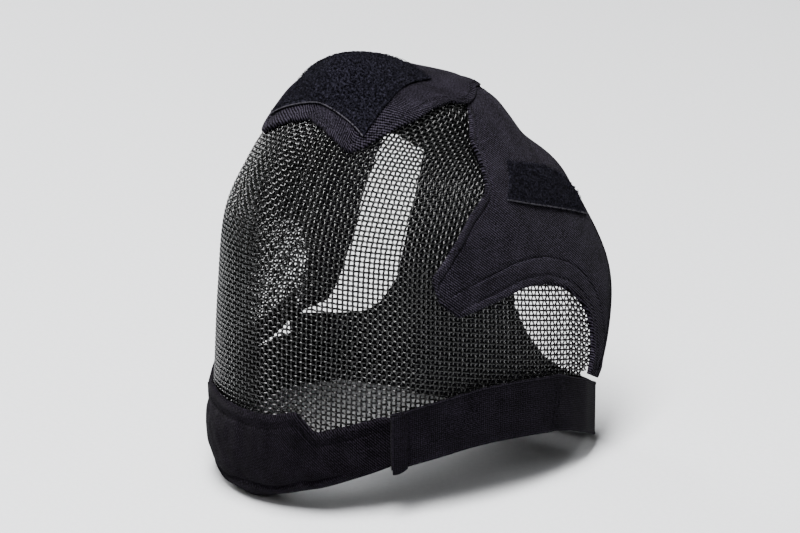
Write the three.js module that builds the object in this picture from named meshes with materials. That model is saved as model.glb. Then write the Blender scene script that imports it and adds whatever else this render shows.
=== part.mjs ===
// Mesh face mask: a formed wire-mesh shell with sewn cloth panels, loop-fastener patches,
// a padded chin band, a back panel and an elastic neck strap.
// Millimetres, +Z up. The face looks along -Y and the wearer's left is +X.
import * as THREE from 'three';

// The tables below count y from the ear line, which lies this far behind the middle of the mask's depth
const EAR_LINE_Y = 41;

// Wall build-up, measured outward from the outer face of the wire mesh
const MESH = { inner: -1.8, outer: 0 };
const CLOTH = { inner: 0.7, outer: 2.5 };
const PATCH = { inner: 3.1, outer: 4.2 };
const STRAP = { inner: 3.0, outer: 4.8 };
const STRAP_END = { inner: 5.2, outer: 6.4 };

// Driving sizes of the sewn pieces
const STRAP_WIDTH = 34.5;
const STRAP_START_DEG = { left: 40, right: 56 };
const STRAP_END_LENGTH_DEG = 4;
const MESH_UNDER_CROWN = 5;
const SEAM_GAP = 0.7;
const BACK_PANEL_THICKNESS = 1.8;

// How finely the curved walls are divided
const CROWN_STEP_DEG = 5;
const CROWN_RINGS = 7;
const MESH_STEPS_AROUND = 36;
const MESH_STEPS_UP = 18;
const SIDE_STEPS_PER_STATION = 3;
const SIDE_STEPS_ACROSS = 7;
const PATCH_STEPS = 12;
const BAND_STEP_DEG = 4;
const STRAP_STEP_DEG = 4;
const STRAP_STEPS_UP = 3;

const DEGREE = Math.PI / 180;

function table(names, rows) {
  return rows.map(row => Object.fromEntries(names.map((name, k) => [name, row[k]])));
}

// Level sections of the head form from the floor to the top: height, half-width, y of the widest place,
// y at the front, y at the back, and how blunt the section is in front and behind
const SECTIONS = table(['z', 'half', 'mid', 'front', 'back', 'bluntFront', 'bluntBack'], [
  [0, 102, -1, -137, 110, 0, 0.25],
  [35, 107.5, 8, -145, 114, -0.08, 0.25],
  [74, 107, 14, -145.5, 124, -0.1, 0.25],
  [113, 100.5, 10, -144.5, 122, -0.08, 0.25],
  [161, 83, -13, -142, 91, -0.03, 0.25],
  [189, 68, -22, -131, 53.5, -0.04, 0.2],
  [211.7, 52, -31.6, -113, 42.5, 0, 0.12],
  [227.4, 42, -42, -87, 8.5, -0.15, 0],
  [248, 0, -60, -60, -60, 0, 0],
]);
const TOP_LEVEL = SECTIONS.length - 1;

// Lower edge of the crown, by the angle round the head from the middle of the face: an M over the brow,
// a rise to the corner with the side panel, then the seam and the rear edge
const CROWN_EDGE = table(['deg', 'z'], [
  [0, 221.8], [15, 219], [25, 215], [35, 209], [40, 210.2], [50, 214.8], [60, 218.7],
  [85, 224], [115, 223], [140, 221.8], [160, 214.5], [180, 211.5],
]);

// Lower edge of the wire mesh, hidden in the chin band and behind the strap
const MESH_LOW_EDGE = table(['deg', 'z'], [
  [0, 16], [15, 24], [25, 31], [38, 39], [60, 45], [76, 44], [86, 44], [94, 53], [102, 60],
]);

// Rear edge of the wire mesh, hidden under the side panel
const MESH_REAR_EDGE = table(['z', 'deg'], [
  [0, 102], [75, 103], [120, 104], [180, 108], [225, 120],
]);

// Side panel as a strip bent round the ear: each row has a point of the ear edge and one of the outer edge
const SIDE_STATIONS = table(['earDeg', 'earZ', 'outDeg', 'outZ'], [
  [59, 113.6, 55.3, 123.5],
  [61, 114.2, 55.3, 138.4],
  [66, 116.3, 63.5, 151.8],
  [72, 118.6, 74.3, 168.1],
  [78, 120.7, 84.2, 177.5],
  [82, 120, 91.7, 202.9],
  [85.5, 118.2, 115, 223],
  [88.5, 114.5, 140, 221.8],
  [91, 110.3, 158.5, 215],
  [94, 104, 150.5, 187],
  [96.3, 97, 136, 168],
  [98, 90.7, 128, 142],
  [99, 80, 121, 112],
  [99.2, 68, 112.5, 76],
  [97.7, 54.7, 104.9, 47.6],
]);
const SEAM_STATIONS = [6, 7, 8];
// Its last rows on the right, where the rear rim hangs further back and lower
const SIDE_REAR_RIGHT = table(['earDeg', 'earZ', 'outDeg', 'outZ'], [
  [99, 80, 121, 112],
  [99.2, 68, 117, 76],
  [97.9, 56, 114, 56],
  [97.2, 45, 110.5, 47.5],
]);
const SIDE_REAR_START = 12;

// Side loop patch as a strip from its front end to the rear edge of the side panel
const SIDE_PATCH_STATIONS = table(['lowDeg', 'lowZ', 'highDeg', 'highZ'], [
  [88, 169.4, 102, 186.9],
  [95, 164, 112, 181.3],
  [104, 157, 122, 174.5],
  [114, 148.5, 127.5, 164],
  [122.5, 140.5, 128, 152],
]);

// Crown loop patch seen from above: half-width and front edge by the distance from the middle
const CROWN_PATCH = { halfFront: 32, halfRear: 30, rearY: -25 };
const CROWN_PATCH_FRONT = table(['x', 'y'], [[0, -86.5], [15, -88.5], [32, -90.5]]);

// Chin band by the angle round the jaw: its edges, and how far it is padded out (1 is full)
const BAND_STATIONS = table(['deg', 'top', 'bottom', 'padding'], [
  [-96, 63, 47, 0], [-86, 56, 38, 0], [-80, 54, 37, 0], [-60, 55, 34, 0], [-46, 50, 22, 0],
  [-38, 53, 9, 0.1], [-30, 58, 4, 0.7], [-20, 58.5, 0, 1], [-7, 59, 0, 1], [0, 59.5, 4.5, 1],
  [6, 60.5, 8, 1], [14, 64.5, 12.8, 1], [20, 52.5, 15.8, 0.9], [26, 55.5, 20, 0.7],
  [38, 61.5, 29, 0.1], [46, 58, 36, 0], [60, 57, 38, 0], [80, 54, 37, 0],
]);
// Its cross-section from the top edge round the chin: fraction of its height, and for the outer and inner
// face the padding or tuck and the lift
const BAND_PROFILE = table(['down', 'outPad', 'outTuck', 'inTuck', 'inLift'], [
  [0, 0, 0, 0, 0],
  [0.12, 2.0, 0, 0, 0],
  [0.35, 3.4, 0, 0, 0],
  [0.65, 3.6, 0, 0, 0],
  [0.86, 2.6, 0, 0, 0],
  [0.95, 1.0, -1.2, -1.2, 0.6],
  [1, 0, -5, -4.4, 1.8],
  [1, 0, -14, -12.2, 1.8],
]);

// Back panel from the crown's rear edge down to the bar behind the neck: half-width, y of its middle,
// how far its sides lie forward and up, and how far the ends of the bar turn forward and up
const BACK_PANEL = table(['z', 'half', 'y', 'forward', 'lift', 'wrap', 'rise'], [
  [211.6, 19, 43.4, 8.8, 3, 0, 0],
  [202, 25, 45.4, 7, 1.5, 0, 0],
  [187, 37, 46.5, 5, 0, 0, 0],
  [178, 45, 46.8, 4, 0, 0, 0],
  [171, 49, 47, 4, 0, 0, 0],
  [167, 38, 47, 4, 0, 0, 0],
  [164, 25, 47, 4, 0, 0, 0],
  [140, 31, 47.5, 4, 0, 0, 0],
  [110, 38, 47, 4, 0, 0, 0],
  [78, 45, 46, 4, 0, 0, 0],
  [60, 57, 45, 3.5, 0, 0, 0],
  [52, 67, 44.5, 3, 0, 0, 0],
  [46, 83, 44, 2.5, 0, 0, 0],
  [42, 104, 44, 2, 0, 34, 9],
  [30, 104, 46, 2, -6, 34, 5],
]);

// Neck strap: height of its lower edge on the left, where it arches and comes down to the rear corner, and on
// the right, where it sags to the floor; first round the jaw by angle, then free and across the neck
const STRAP_ON_JAW = table(['deg', 'left', 'right'], [
  [40, 28.7, 1], [48, 32.2, 1], [60, 36.4, 0.6], [68, 36.3, 0], [76, 34, 0], [84, 30.4, 0],
]);
// Behind, how far the lower edge lies further in than the upper edge has its own columns
const STRAP_BEHIND = table(['x', 'y', 'left', 'right', 'leanLeft', 'leanRight'], [
  [111.4, 6, 26.2, 0, 0, 3],
  [109.6, 24, 18.8, 0, 0, 8],
  [101.4, 46, 8, 0.5, 0, 15],
  [87.5, 61.4, 0.6, 1.5, 0, 20],
  [86, 63.1, 0, 1.6, 0, 21],
  [83, 64, 0.2, 1.8, 1, 22],
  [60, 66.3, 3, 3, 10, 23],
  [30, 68, 5, 4, 18, 23],
  [0, 68.5, 5, 5, 22, 22],
]);

const MATERIALS = {
  wire: { color: 0x1a1a1c, roughness: 0.4, metalness: 0.8 },
  cloth: { color: 0x1b181c, roughness: 0.9, metalness: 0 },
  loop: { color: 0x0f1115, roughness: 1, metalness: 0 },
  elastic: { color: 0x19171b, roughness: 0.85, metalness: 0 },
};

// Value of one column of a table at a place along another, straight between rows
function along(rows, key, at, column) {
  const last = rows.length - 1;
  let k = 0;
  while (k < last - 1 && rows[k + 1][key] < at) k += 1;
  const share = (at - rows[k][key]) / (rows[k + 1][key] - rows[k][key]);
  return THREE.MathUtils.lerp(rows[k][column], rows[k + 1][column], THREE.MathUtils.clamp(share, 0, 1));
}

function sectionRow(k) {
  if (k < 0) {
    const [first, second] = SECTIONS;
    return Object.fromEntries(Object.keys(first).map(name => [name, 2 * first[name] - second[name]]));
  }
  if (k <= TOP_LEVEL) return SECTIONS[k];
  const below = SECTIONS[TOP_LEVEL - 1];
  return { ...below, half: -below.half, front: below.back, back: below.front };
}

// Section of the form at a level counted in rows of the table, smooth between them
function sectionAt(level) {
  const k = Math.min(Math.floor(level), TOP_LEVEL - 1);
  const f = level - k;
  const [p0, p1, p2, p3] = [k - 1, k, k + 1, k + 2].map(sectionRow);
  const smooth = name => {
    const [a, b, c, d] = [p0[name], p1[name], p2[name], p3[name]];
    return b + 0.5 * f * (c - a + f * (2 * a - 5 * b + 4 * c - d + f * (3 * (b - c) + d - a)));
  };
  return Object.fromEntries(Object.keys(p1).map(name => [name, smooth(name)]));
}

function levelAtHeight(z) {
  let low = 0;
  let high = TOP_LEVEL;
  for (let step = 0; step < 40; step += 1) {
    const middle = (low + high) / 2;
    if (sectionAt(middle).z < z) low = middle;
    else high = middle;
  }
  return (low + high) / 2;
}

function formPoint(deg, level) {
  const s = sectionAt(level);
  const cos = Math.cos(deg * DEGREE);
  const sin = Math.sin(deg * DEGREE);
  const blunt = cos > 0 ? s.bluntFront : s.bluntBack;
  const reach = cos > 0 ? s.mid - s.front : s.back - s.mid;
  return new THREE.Vector3(s.half * sin * (1 + blunt * cos * cos), s.mid - reach * cos, s.z);
}

function formNormal(deg, level) {
  if (level > TOP_LEVEL - 0.001) return new THREE.Vector3(0, 0, 1);
  const around = formPoint(deg + 0.1, level).sub(formPoint(deg - 0.1, level));
  const up = formPoint(deg, level + 0.001).sub(formPoint(deg, Math.max(level - 0.001, 0)));
  return around.cross(up).normalize();
}

// Point standing off the form at a level, or at a height
function offForm(deg, level, offset) {
  return formPoint(deg, level).addScaledVector(formNormal(deg, level), offset);
}

function skin(deg, z, offset) {
  return offForm(deg, levelAtHeight(z), offset);
}

// Point standing off the top of the form above a place seen from above
function skinAbove(x, y, offset) {
  const place = level => {
    const s = sectionAt(level);
    const ahead = s.mid - y;
    const reach = ahead > 0 ? s.mid - s.front : s.back - s.mid;
    const cos = THREE.MathUtils.clamp(ahead / reach, -1, 1);
    const blunt = ahead > 0 ? s.bluntFront : s.bluntBack;
    const widest = s.half * Math.sqrt(1 - cos * cos) * (1 + blunt * cos * cos);
    return { cos, inside: Math.abs(ahead) < reach && Math.abs(x) < widest };
  };
  let low = 4;
  let high = TOP_LEVEL - 0.0005;
  for (let step = 0; step < 40; step += 1) {
    const middle = (low + high) / 2;
    if (place(middle).inside) low = middle;
    else high = middle;
  }
  const deg = Math.acos(place(low).cos) / DEGREE;
  return offForm(x < 0 ? -deg : deg, low, offset);
}

// Closed wall between an outer and an inner grid of points, mirrored in X on request
function wall(name, look, columns, rows, pointsAt, { ring = false, mirror = false } = {}) {
  const positions = [];
  const known = new Map();
  const index = [];
  const vertex = p => {
    const x = mirror ? -p.x : p.x;
    const key = [x, p.y, p.z].map(v => (v + 0).toFixed(4)).join();
    if (!known.has(key)) {
      known.set(key, known.size);
      positions.push(x, p.y + EAR_LINE_Y, p.z);
    }
    return known.get(key);
  };
  const triangle = (a, b, c) => {
    if (a === b || b === c || a === c) return;
    index.push(...(mirror ? [a, c, b] : [a, b, c]));
  };
  const quad = (a, b, c, d) => {
    triangle(a, b, c);
    triangle(a, c, d);
  };
  const grid = [];
  for (let i = 0; i <= columns; i += 1) {
    grid.push([]);
    for (let j = 0; j <= rows; j += 1) {
      const { outer, inner } = pointsAt(ring ? i % columns : i, j);
      grid[i].push({ outer: vertex(outer), inner: vertex(inner) });
    }
  }
  for (let i = 0; i < columns; i += 1) {
    for (let j = 0; j < rows; j += 1) {
      const [a, b, c, d] = [grid[i][j], grid[i + 1][j], grid[i + 1][j + 1], grid[i][j + 1]];
      quad(a.outer, b.outer, c.outer, d.outer);
      quad(a.inner, d.inner, c.inner, b.inner);
    }
    const [low, lowNext, high, highNext] = [grid[i][0], grid[i + 1][0], grid[i][rows], grid[i + 1][rows]];
    quad(lowNext.outer, low.outer, low.inner, lowNext.inner);
    quad(high.outer, highNext.outer, highNext.inner, high.inner);
  }
  if (!ring) {
    for (let j = 0; j < rows; j += 1) {
      const [first, firstNext] = [grid[0][j], grid[0][j + 1]];
      const [last, lastNext] = [grid[columns][j], grid[columns][j + 1]];
      quad(first.outer, firstNext.outer, firstNext.inner, first.inner);
      quad(lastNext.outer, last.outer, last.inner, lastNext.inner);
    }
  }
  const geometry = new THREE.BufferGeometry();
  geometry.setAttribute('position', new THREE.Float32BufferAttribute(positions, 3));
  geometry.setIndex(index);
  geometry.computeVertexNormals();
  const mesh = new THREE.Mesh(geometry, new THREE.MeshStandardMaterial(MATERIALS[look]));
  mesh.name = name;
  return mesh;
}

const layered = (layer, place) => ({ outer: place(layer.outer), inner: place(layer.inner) });

function crownEdge(deg) {
  return along(CROWN_EDGE, 'deg', Math.abs(deg), 'z');
}

function faceMesh() {
  const pointsAt = (i, j) => {
    const side = 2 * i / MESH_STEPS_AROUND - 1;
    const up = j / MESH_STEPS_UP;
    const roughDeg = 110 * Math.abs(side);
    const roughZ = THREE.MathUtils.lerp(along(MESH_LOW_EDGE, 'deg', roughDeg, 'z'), crownEdge(roughDeg), up);
    const deg = Math.abs(side) * along(MESH_REAR_EDGE, 'z', roughZ, 'deg');
    const low = along(MESH_LOW_EDGE, 'deg', deg, 'z');
    const high = crownEdge(deg) + MESH_UNDER_CROWN;
    const z = THREE.MathUtils.lerp(low, high, up);
    return layered(MESH, offset => skin(deg * Math.sign(side), z, offset));
  };
  return wall('face_mesh', 'wire', MESH_STEPS_AROUND, MESH_STEPS_UP, pointsAt);
}

function crownPanel() {
  const columns = 360 / CROWN_STEP_DEG;
  const pointsAt = (i, j) => {
    const deg = -180 + i * CROWN_STEP_DEG;
    const edge = levelAtHeight(crownEdge(deg));
    const level = THREE.MathUtils.lerp(edge, TOP_LEVEL, j / CROWN_RINGS);
    return layered(CLOTH, offset => offForm(deg, level, offset));
  };
  return wall('crown_panel', 'cloth', columns, CROWN_RINGS, pointsAt, { ring: true });
}

function crownLoopPatch() {
  const pointsAt = (i, j) => {
    const side = 2 * i / PATCH_STEPS - 1;
    const back = j / PATCH_STEPS;
    const half = THREE.MathUtils.lerp(CROWN_PATCH.halfFront, CROWN_PATCH.halfRear, back);
    const frontY = along(CROWN_PATCH_FRONT, 'x', Math.abs(side * half), 'y');
    const y = THREE.MathUtils.lerp(frontY, CROWN_PATCH.rearY, back);
    return layered(PATCH, offset => skinAbove(side * half, y, offset));
  };
  return wall('crown_loop_patch', 'loop', PATCH_STEPS, PATCH_STEPS, pointsAt);
}

// Place on a strip between two table rows, at a share of the way across it
function stripPlace(rows, step, stepsPerRow, names, across) {
  const k = Math.min(Math.floor(step / stepsPerRow), rows.length - 2);
  const share = step / stepsPerRow - k;
  const value = name => THREE.MathUtils.lerp(rows[k][name], rows[k + 1][name], share);
  const [nearDeg, nearZ, farDeg, farZ] = names.map(value);
  return {
    deg: THREE.MathUtils.lerp(nearDeg, farDeg, across),
    z: THREE.MathUtils.lerp(nearZ, farZ, across),
  };
}

function sidePanel(name, mirror) {
  const stations = mirror
    ? [...SIDE_STATIONS.slice(0, SIDE_REAR_START), ...SIDE_REAR_RIGHT]
    : SIDE_STATIONS;
  const rows = stations.map((row, k) => (
    SEAM_STATIONS.includes(k) ? { ...row, outZ: crownEdge(row.outDeg) - SEAM_GAP } : row));
  const columns = (rows.length - 1) * SIDE_STEPS_PER_STATION;
  const names = ['earDeg', 'earZ', 'outDeg', 'outZ'];
  const pointsAt = (i, j) => {
    const place = stripPlace(rows, i, SIDE_STEPS_PER_STATION, names, j / SIDE_STEPS_ACROSS);
    return layered(CLOTH, offset => skin(place.deg, place.z, offset));
  };
  return wall(name, 'cloth', columns, SIDE_STEPS_ACROSS, pointsAt, { mirror });
}

function sideLoopPatch(name, mirror) {
  const steps = 3;
  const columns = (SIDE_PATCH_STATIONS.length - 1) * steps;
  const names = ['lowDeg', 'lowZ', 'highDeg', 'highZ'];
  const pointsAt = (i, j) => {
    const place = stripPlace(SIDE_PATCH_STATIONS, i, steps, names, j / steps);
    return layered(PATCH, offset => skin(place.deg, place.z, offset));
  };
  return wall(name, 'loop', columns, steps, pointsAt, { mirror });
}

function chinBand() {
  const firstDeg = BAND_STATIONS[0].deg;
  const lastDeg = BAND_STATIONS[BAND_STATIONS.length - 1].deg;
  const columns = Math.round((lastDeg - firstDeg) / BAND_STEP_DEG);
  const rows = BAND_PROFILE.length - 1;
  const pointsAt = (i, j) => {
    const deg = firstDeg + i * BAND_STEP_DEG;
    const [top, bottom, padding] = ['top', 'bottom', 'padding']
      .map(column => along(BAND_STATIONS, 'deg', deg, column));
    const profile = BAND_PROFILE[rows - j];
    const z = THREE.MathUtils.lerp(top, bottom, profile.down);
    const outOffset = CLOTH.outer + padding * (profile.outPad + profile.outTuck);
    const inOffset = CLOTH.inner + padding * profile.inTuck;
    return {
      outer: skin(deg, z, outOffset).setZ(z),
      inner: skin(deg, z, inOffset).setZ(z + padding * profile.inLift),
    };
  };
  return wall('chin_band', 'cloth', columns, rows, pointsAt);
}

function backPanel() {
  const columns = 18;
  const rows = BACK_PANEL.length - 1;
  const pointsAt = (i, j) => {
    const side = 1 - 2 * i / columns;
    const row = BACK_PANEL[rows - j];
    const turn = side ** 8;
    const middle = new THREE.Vector3(
      side * row.half,
      row.y - row.forward * side * side - row.wrap * turn,
      row.z + row.lift * side * side + row.rise * turn,
    );
    const slope = (2 * row.forward * side + 8 * row.wrap * side ** 7) / row.half;
    const outward = new THREE.Vector3(slope, 1, 0).normalize().multiplyScalar(BACK_PANEL_THICKNESS / 2);
    return { outer: middle.clone().add(outward), inner: middle.clone().sub(outward) };
  };
  return wall('back_panel', 'cloth', columns, rows, pointsAt);
}

function strapBottom(deg, side) {
  return along(STRAP_ON_JAW, 'deg', deg, side);
}

// One half of the strap's route from the jaw to the middle of the back, each place as a function that
// gives the outer and inner point at a height above the lower edge
function strapRoute(side) {
  const thickness = STRAP.outer - STRAP.inner;
  const lastDeg = STRAP_ON_JAW[STRAP_ON_JAW.length - 1].deg;
  const route = [];
  for (let deg = STRAP_START_DEG[side]; deg <= lastDeg; deg += STRAP_STEP_DEG) {
    const bottom = strapBottom(deg, side);
    route.push(height => layered(STRAP, offset => skin(deg, bottom + height, offset).setZ(bottom + height)));
  }
  STRAP_BEHIND.forEach((row, k) => {
    const before = STRAP_BEHIND[Math.max(k - 1, 0)];
    const next = STRAP_BEHIND[k + 1] ?? { x: -before.x, y: before.y };
    const ahead = new THREE.Vector3(next.x - before.x, next.y - before.y, 0).normalize();
    const outward = new THREE.Vector3(ahead.y, -ahead.x, 0);
    const lean = side === 'left' ? row.leanLeft : row.leanRight;
    const steepness = Math.sqrt(1 - (lean / STRAP_WIDTH) ** 2);
    route.push(height => {
      const middle = new THREE.Vector3(row.x, row.y, row[side] + height * steepness);
      middle.addScaledVector(outward, lean * (height / STRAP_WIDTH - 1));
      return {
        outer: middle.clone().addScaledVector(outward, thickness / 2),
        inner: middle.clone().addScaledVector(outward, -thickness / 2),
      };
    });
  });
  return route;
}

function neckStrap() {
  const flip = p => new THREE.Vector3(-p.x, p.y, p.z);
  const left = strapRoute('left');
  const right = strapRoute('right').slice(0, -1).reverse().map(at => height => {
    const { outer, inner } = at(height);
    return { outer: flip(outer), inner: flip(inner) };
  });
  const stations = [...left, ...right];
  const pointsAt = (i, j) => stations[i](STRAP_WIDTH * j / STRAP_STEPS_UP);
  return wall('neck_strap', 'elastic', stations.length - 1, STRAP_STEPS_UP, pointsAt);
}

function strapEnd(side) {
  const columns = 3;
  const mirror = side === 'right';
  const pointsAt = (i, j) => {
    const deg = STRAP_START_DEG[side] + STRAP_END_LENGTH_DEG * i / columns;
    const z = strapBottom(deg, side) + STRAP_WIDTH * j / STRAP_STEPS_UP;
    return layered(STRAP_END, offset => skin(deg, z, offset).setZ(z));
  };
  return wall(`strap_end_${side}`, 'elastic', columns, STRAP_STEPS_UP, pointsAt, { mirror });
}

const group = new THREE.Group();
group.name = 'mesh_face_mask';
group.add(faceMesh(), crownPanel(), crownLoopPatch());
for (const side of ['left', 'right']) {
  const mirror = side === 'right';
  group.add(sidePanel(`side_panel_${side}`, mirror));
  group.add(sideLoopPatch(`side_loop_patch_${side}`, mirror));
  group.add(strapEnd(side));
}
group.add(chinBand(), backPanel(), neckStrap());

export default group;
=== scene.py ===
"""Looks of the mesh face mask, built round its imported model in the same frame.

Tables are in millimetres, with y counted from the ear line; finished meshes are in metres.
"""
import math

import bmesh
import bpy
import numpy as np
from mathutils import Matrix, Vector, noise


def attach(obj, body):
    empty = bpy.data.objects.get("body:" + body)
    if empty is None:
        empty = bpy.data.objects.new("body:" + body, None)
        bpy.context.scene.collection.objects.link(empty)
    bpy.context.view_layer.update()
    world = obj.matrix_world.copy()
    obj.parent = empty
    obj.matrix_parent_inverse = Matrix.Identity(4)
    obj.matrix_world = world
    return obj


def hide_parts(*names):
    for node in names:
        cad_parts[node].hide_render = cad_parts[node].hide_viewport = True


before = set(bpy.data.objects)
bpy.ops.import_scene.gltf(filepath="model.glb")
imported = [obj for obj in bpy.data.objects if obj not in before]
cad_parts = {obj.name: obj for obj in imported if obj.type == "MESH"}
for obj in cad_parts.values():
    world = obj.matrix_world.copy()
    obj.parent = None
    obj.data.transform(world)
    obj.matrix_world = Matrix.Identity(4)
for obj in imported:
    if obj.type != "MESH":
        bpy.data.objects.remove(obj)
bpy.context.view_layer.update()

MM = 0.001
EAR_LINE_Y = 41.0
IMAGE_WIDTH = 800
IMAGE_HEIGHT = 533

# Head form: level sections from the floor to the top
# height, half-width, y of the widest place, y in front, y behind, bluntness in front and behind
SECTIONS = np.array([
    [0, 102, -1, -137, 110, 0, 0.25],
    [35, 107.5, 8, -145, 114, -0.08, 0.25],
    [74, 107, 14, -145.5, 124, -0.1, 0.25],
    [113, 100.5, 10, -144.5, 122, -0.08, 0.25],
    [161, 83, -13, -142, 91, -0.03, 0.25],
    [189, 68, -22, -131, 53.5, -0.04, 0.2],
    [211.7, 52, -31.6, -113, 42.5, 0, 0.12],
    [227.4, 42, -42, -87, 8.5, -0.15, 0],
    [248, 0, -60, -60, -60, 0, 0],
], float)
Z, HALF, MID, FRONT, BACK, BLUNT_FRONT, BLUNT_BACK = range(7)
TOP_LEVEL = len(SECTIONS) - 1

# Last level at which the form still has a direction of its own
NEAR_TOP = TOP_LEVEL - 0.002
# Level under the whole crown
UNDER_CROWN = 4.0

# Layers outward from the outer face of the wire mesh: middle of the layer and half its thickness
MESH_MIDDLE = -0.9
CLOTH_MIDDLE, CLOTH_HALF = 1.6, 0.9
PATCH_MIDDLE, PATCH_HALF = 3.55, 0.6
STRAP_MIDDLE, STRAP_HALF = 3.9, 0.85
STRAP_END_MIDDLE, STRAP_END_HALF = 5.75, 0.7

# Woven wire, and the net of its crossings, which starts from a line across the face that droops to the sides
WIRE_PITCH = 2.95
WIRE_THICKNESS = 1.28
WIRE_SIDES = 4
WIRE_STEPS_PER_PITCH = 3
FEWEST_CROSSINGS = 3
NET_COLUMNS = 84
NET_START_HEIGHT = 125.0
NET_START_DROOP = 42.0
NET_LAST_DEG = 125
NET_TRIES = 7
NET_LONGEST_STEP = np.array([4, 0.12])
NET_FINE_STEPS = 2500
NET_MIDDLE_TOP = TOP_LEVEL - 0.5
NET_TOP = TOP_LEVEL - 0.3
NET_CARRY_COLUMN = 14
NET_CARRY_ROWS = 14
MESH_UNDER_CROWN = 4.5

# Sewing: rolled hem with a groove under its stitches and a low welt beside it
HEM_WIDTH = 5.2
HEM_RISE = 0.9
HEM_ROLL_MIDDLE, HEM_ROLL_HALF = 2.4, 2.9
HEM_GROOVE_WIDTH, HEM_GROOVE_DEPTH = 0.55, 0.4
HEM_WELT_PLACE, HEM_WELT_WIDTH, HEM_WELT_RISE = 7.2, 1.3, 0.25
STITCH_SPACING = 2.9
STITCH_LENGTH = 2.3
THREAD_THICKNESS = 0.5

# Grid lines beside a cut edge, closest where it rounds off and along its stitches
HEM_OFFSETS = (0, 0.06, 0.25, 0.55, 0.9, 1.6, 2.8, 4.2, 4.75, 5.2, 5.65, 6.2, 7.4)
SIDE_OFFSETS = HEM_OFFSETS + (9.0, 11.5, 14.0, 15.0, 15.5, 16.0, 16.5, 17.2, 19.0)
PATCH_OFFSETS = (0, 0.05, 0.2, 0.4, 0.7, 1.4, 2.2)
STRAP_EDGE_OFFSETS = (0, 0.06, 0.25, 0.55, 0.9, 1.4, 1.9, 2.4)
# A strip narrower than this many times its last offset has them drawn together
NARROW_STRIP = 2.3

# Unevenness of the cloth: height, size of its waves, seed, share that always lies outward
CROWN_RIPPLE = (0.5, 26, 1, 0.4)
SIDE_RIPPLE = (0.7, 30, 2, 0.35)
CHIN_RIPPLE = (0.9, 26, 3, 0)
CHIN_FINE_RIPPLE = (0.35, 9, 6, 0)
BACK_RIPPLE = (0.5, 24, 7, 0)
# There is none of it this far in from an edge, and it grows over each panel's own calm width
CALM_BESIDE_HEM = 6

# Lower edge of the crown by the angle round the head from the middle of the face
CROWN_EDGE = np.array([
    [0, 221.8], [15, 219], [25, 215], [35, 209], [40, 210.2], [50, 214.8], [60, 218.7],
    [85, 224], [115, 223], [140, 221.8], [160, 214.5], [180, 211.5],
], float)
CROWN_ROUNDING = 3.0
CROWN_COLUMNS, CROWN_ROWS = 361, 27
CROWN_RADIUS = 55.0
CROWN_CALM = 14
# Dip beside its hem: place, width, depth
CROWN_DIP = (10, 2.6, 0.35)

# Seam behind, where the crown laps over the side panels, by angle, and how far in from the edge it fades out
SEAM_LAP, SEAM_RISE, SEAM_PRESSED = 4.2, 1.4, 0.7
SEAM_START_DEG, SEAM_NARROW_DEG, SEAM_END_DEG = (101, 112), (112, 150), (158, 166)
SEAM_FADE = (5, 16)
PUCKER_HEIGHT, PUCKER_SPACING, PUCKER_PLACE, PUCKER_WIDTH = 0.32, 3.4, 3.5, 3.0

# Hidden edges of the wire mesh: lower edge by angle, rear edge by height
MESH_LOW_EDGE = np.array([
    [0, 16], [15, 24], [25, 31], [38, 39], [60, 45], [76, 44], [86, 44], [94, 53], [102, 60],
], float)
MESH_REAR_EDGE = np.array([[0, 102], [75, 103], [120, 104], [180, 108], [225, 120]], float)

# Side panel as a strip bent round the ear: angle and height of the ear edge, then of the outer edge
SIDE_STATIONS = np.array([
    [59, 113.6, 55.3, 123.5],
    [61, 114.2, 55.3, 138.4],
    [66, 116.3, 63.5, 151.8],
    [72, 118.6, 74.3, 168.1],
    [78, 120.7, 84.2, 177.5],
    [82, 120, 91.7, 202.9],
    [85.5, 118.2, 115, 222.3],
    [88.5, 114.5, 140, 221.1],
    [91, 110.3, 158.5, 214.4],
    [94, 104, 150.5, 187],
    [96.3, 97, 136, 168],
    [98, 90.7, 128, 142],
    [99, 80, 121, 112],
    [99.2, 68, 112.5, 76],
    [97.7, 54.7, 104.9, 47.6],
], float)

# Its last rows on the right, where the rear rim hangs further back and lower
SIDE_REAR_RIGHT = np.array([
    [99, 80, 121, 112],
    [99.2, 68, 117, 76],
    [97.9, 56, 114, 56],
    [97.2, 45, 110.5, 47.5],
], float)
SIDE_REAR_START = 12
SIDE_STEPS = (150, 22)
SIDE_SEWN_COLUMNS = slice(9, -9)
SIDE_CALM = 12
# Dip beside its outer hem: place, width, depth
SIDE_DIP = (10, 2.6, 0.45)
# How it is pressed under the crown, and where its rear turns in
UNDER_CROWN_PRESSED, UNDER_CROWN_FADE = 0.6, (6, 12)
REAR_TURN_DEG = 110.0
# Facing sewn round the ear
FACING_WIDTH, FACING_RISE = 16.0, 0.55
FACING_GROOVE = (FACING_WIDTH + 0.2, 0.6, 0.4)
FACING_SEAM = FACING_WIDTH + 0.3
FACING_FADE = (1, 6)
# Bulge at the upper rear: middle, width and rise by angle, then by height
BULGE_BY_DEG, BULGE_BY_Z = (130, 17, 2.6), (196, 13, 1)

# Side loop patch: angle and height of the lower edge, then of the upper edge
SIDE_PATCH_STATIONS = np.array([
    [88, 169.4, 102, 186.9],
    [95, 164, 112, 181.3],
    [104, 157, 122, 174.5],
    [114, 148.5, 127.5, 164],
    [122.5, 140.5, 128, 152],
], float)

# Crown loop patch seen from above
CROWN_PATCH_HALF_FRONT, CROWN_PATCH_HALF_REAR, CROWN_PATCH_REAR_Y = 32.0, 30.0, -25.0
CROWN_PATCH_FRONT = np.array([[0, -86.5], [15, -88.5], [32, -90.5]], float)
CROWN_PATCH_STEPS = 40
SIDE_PATCH_STEPS = (44, 20)
# How far the faces of a patch lie inside its layer, which leaves room for the pile
PATCH_SUNK_OUTSIDE, PATCH_SUNK_INSIDE = 0.15, 0.1
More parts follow.
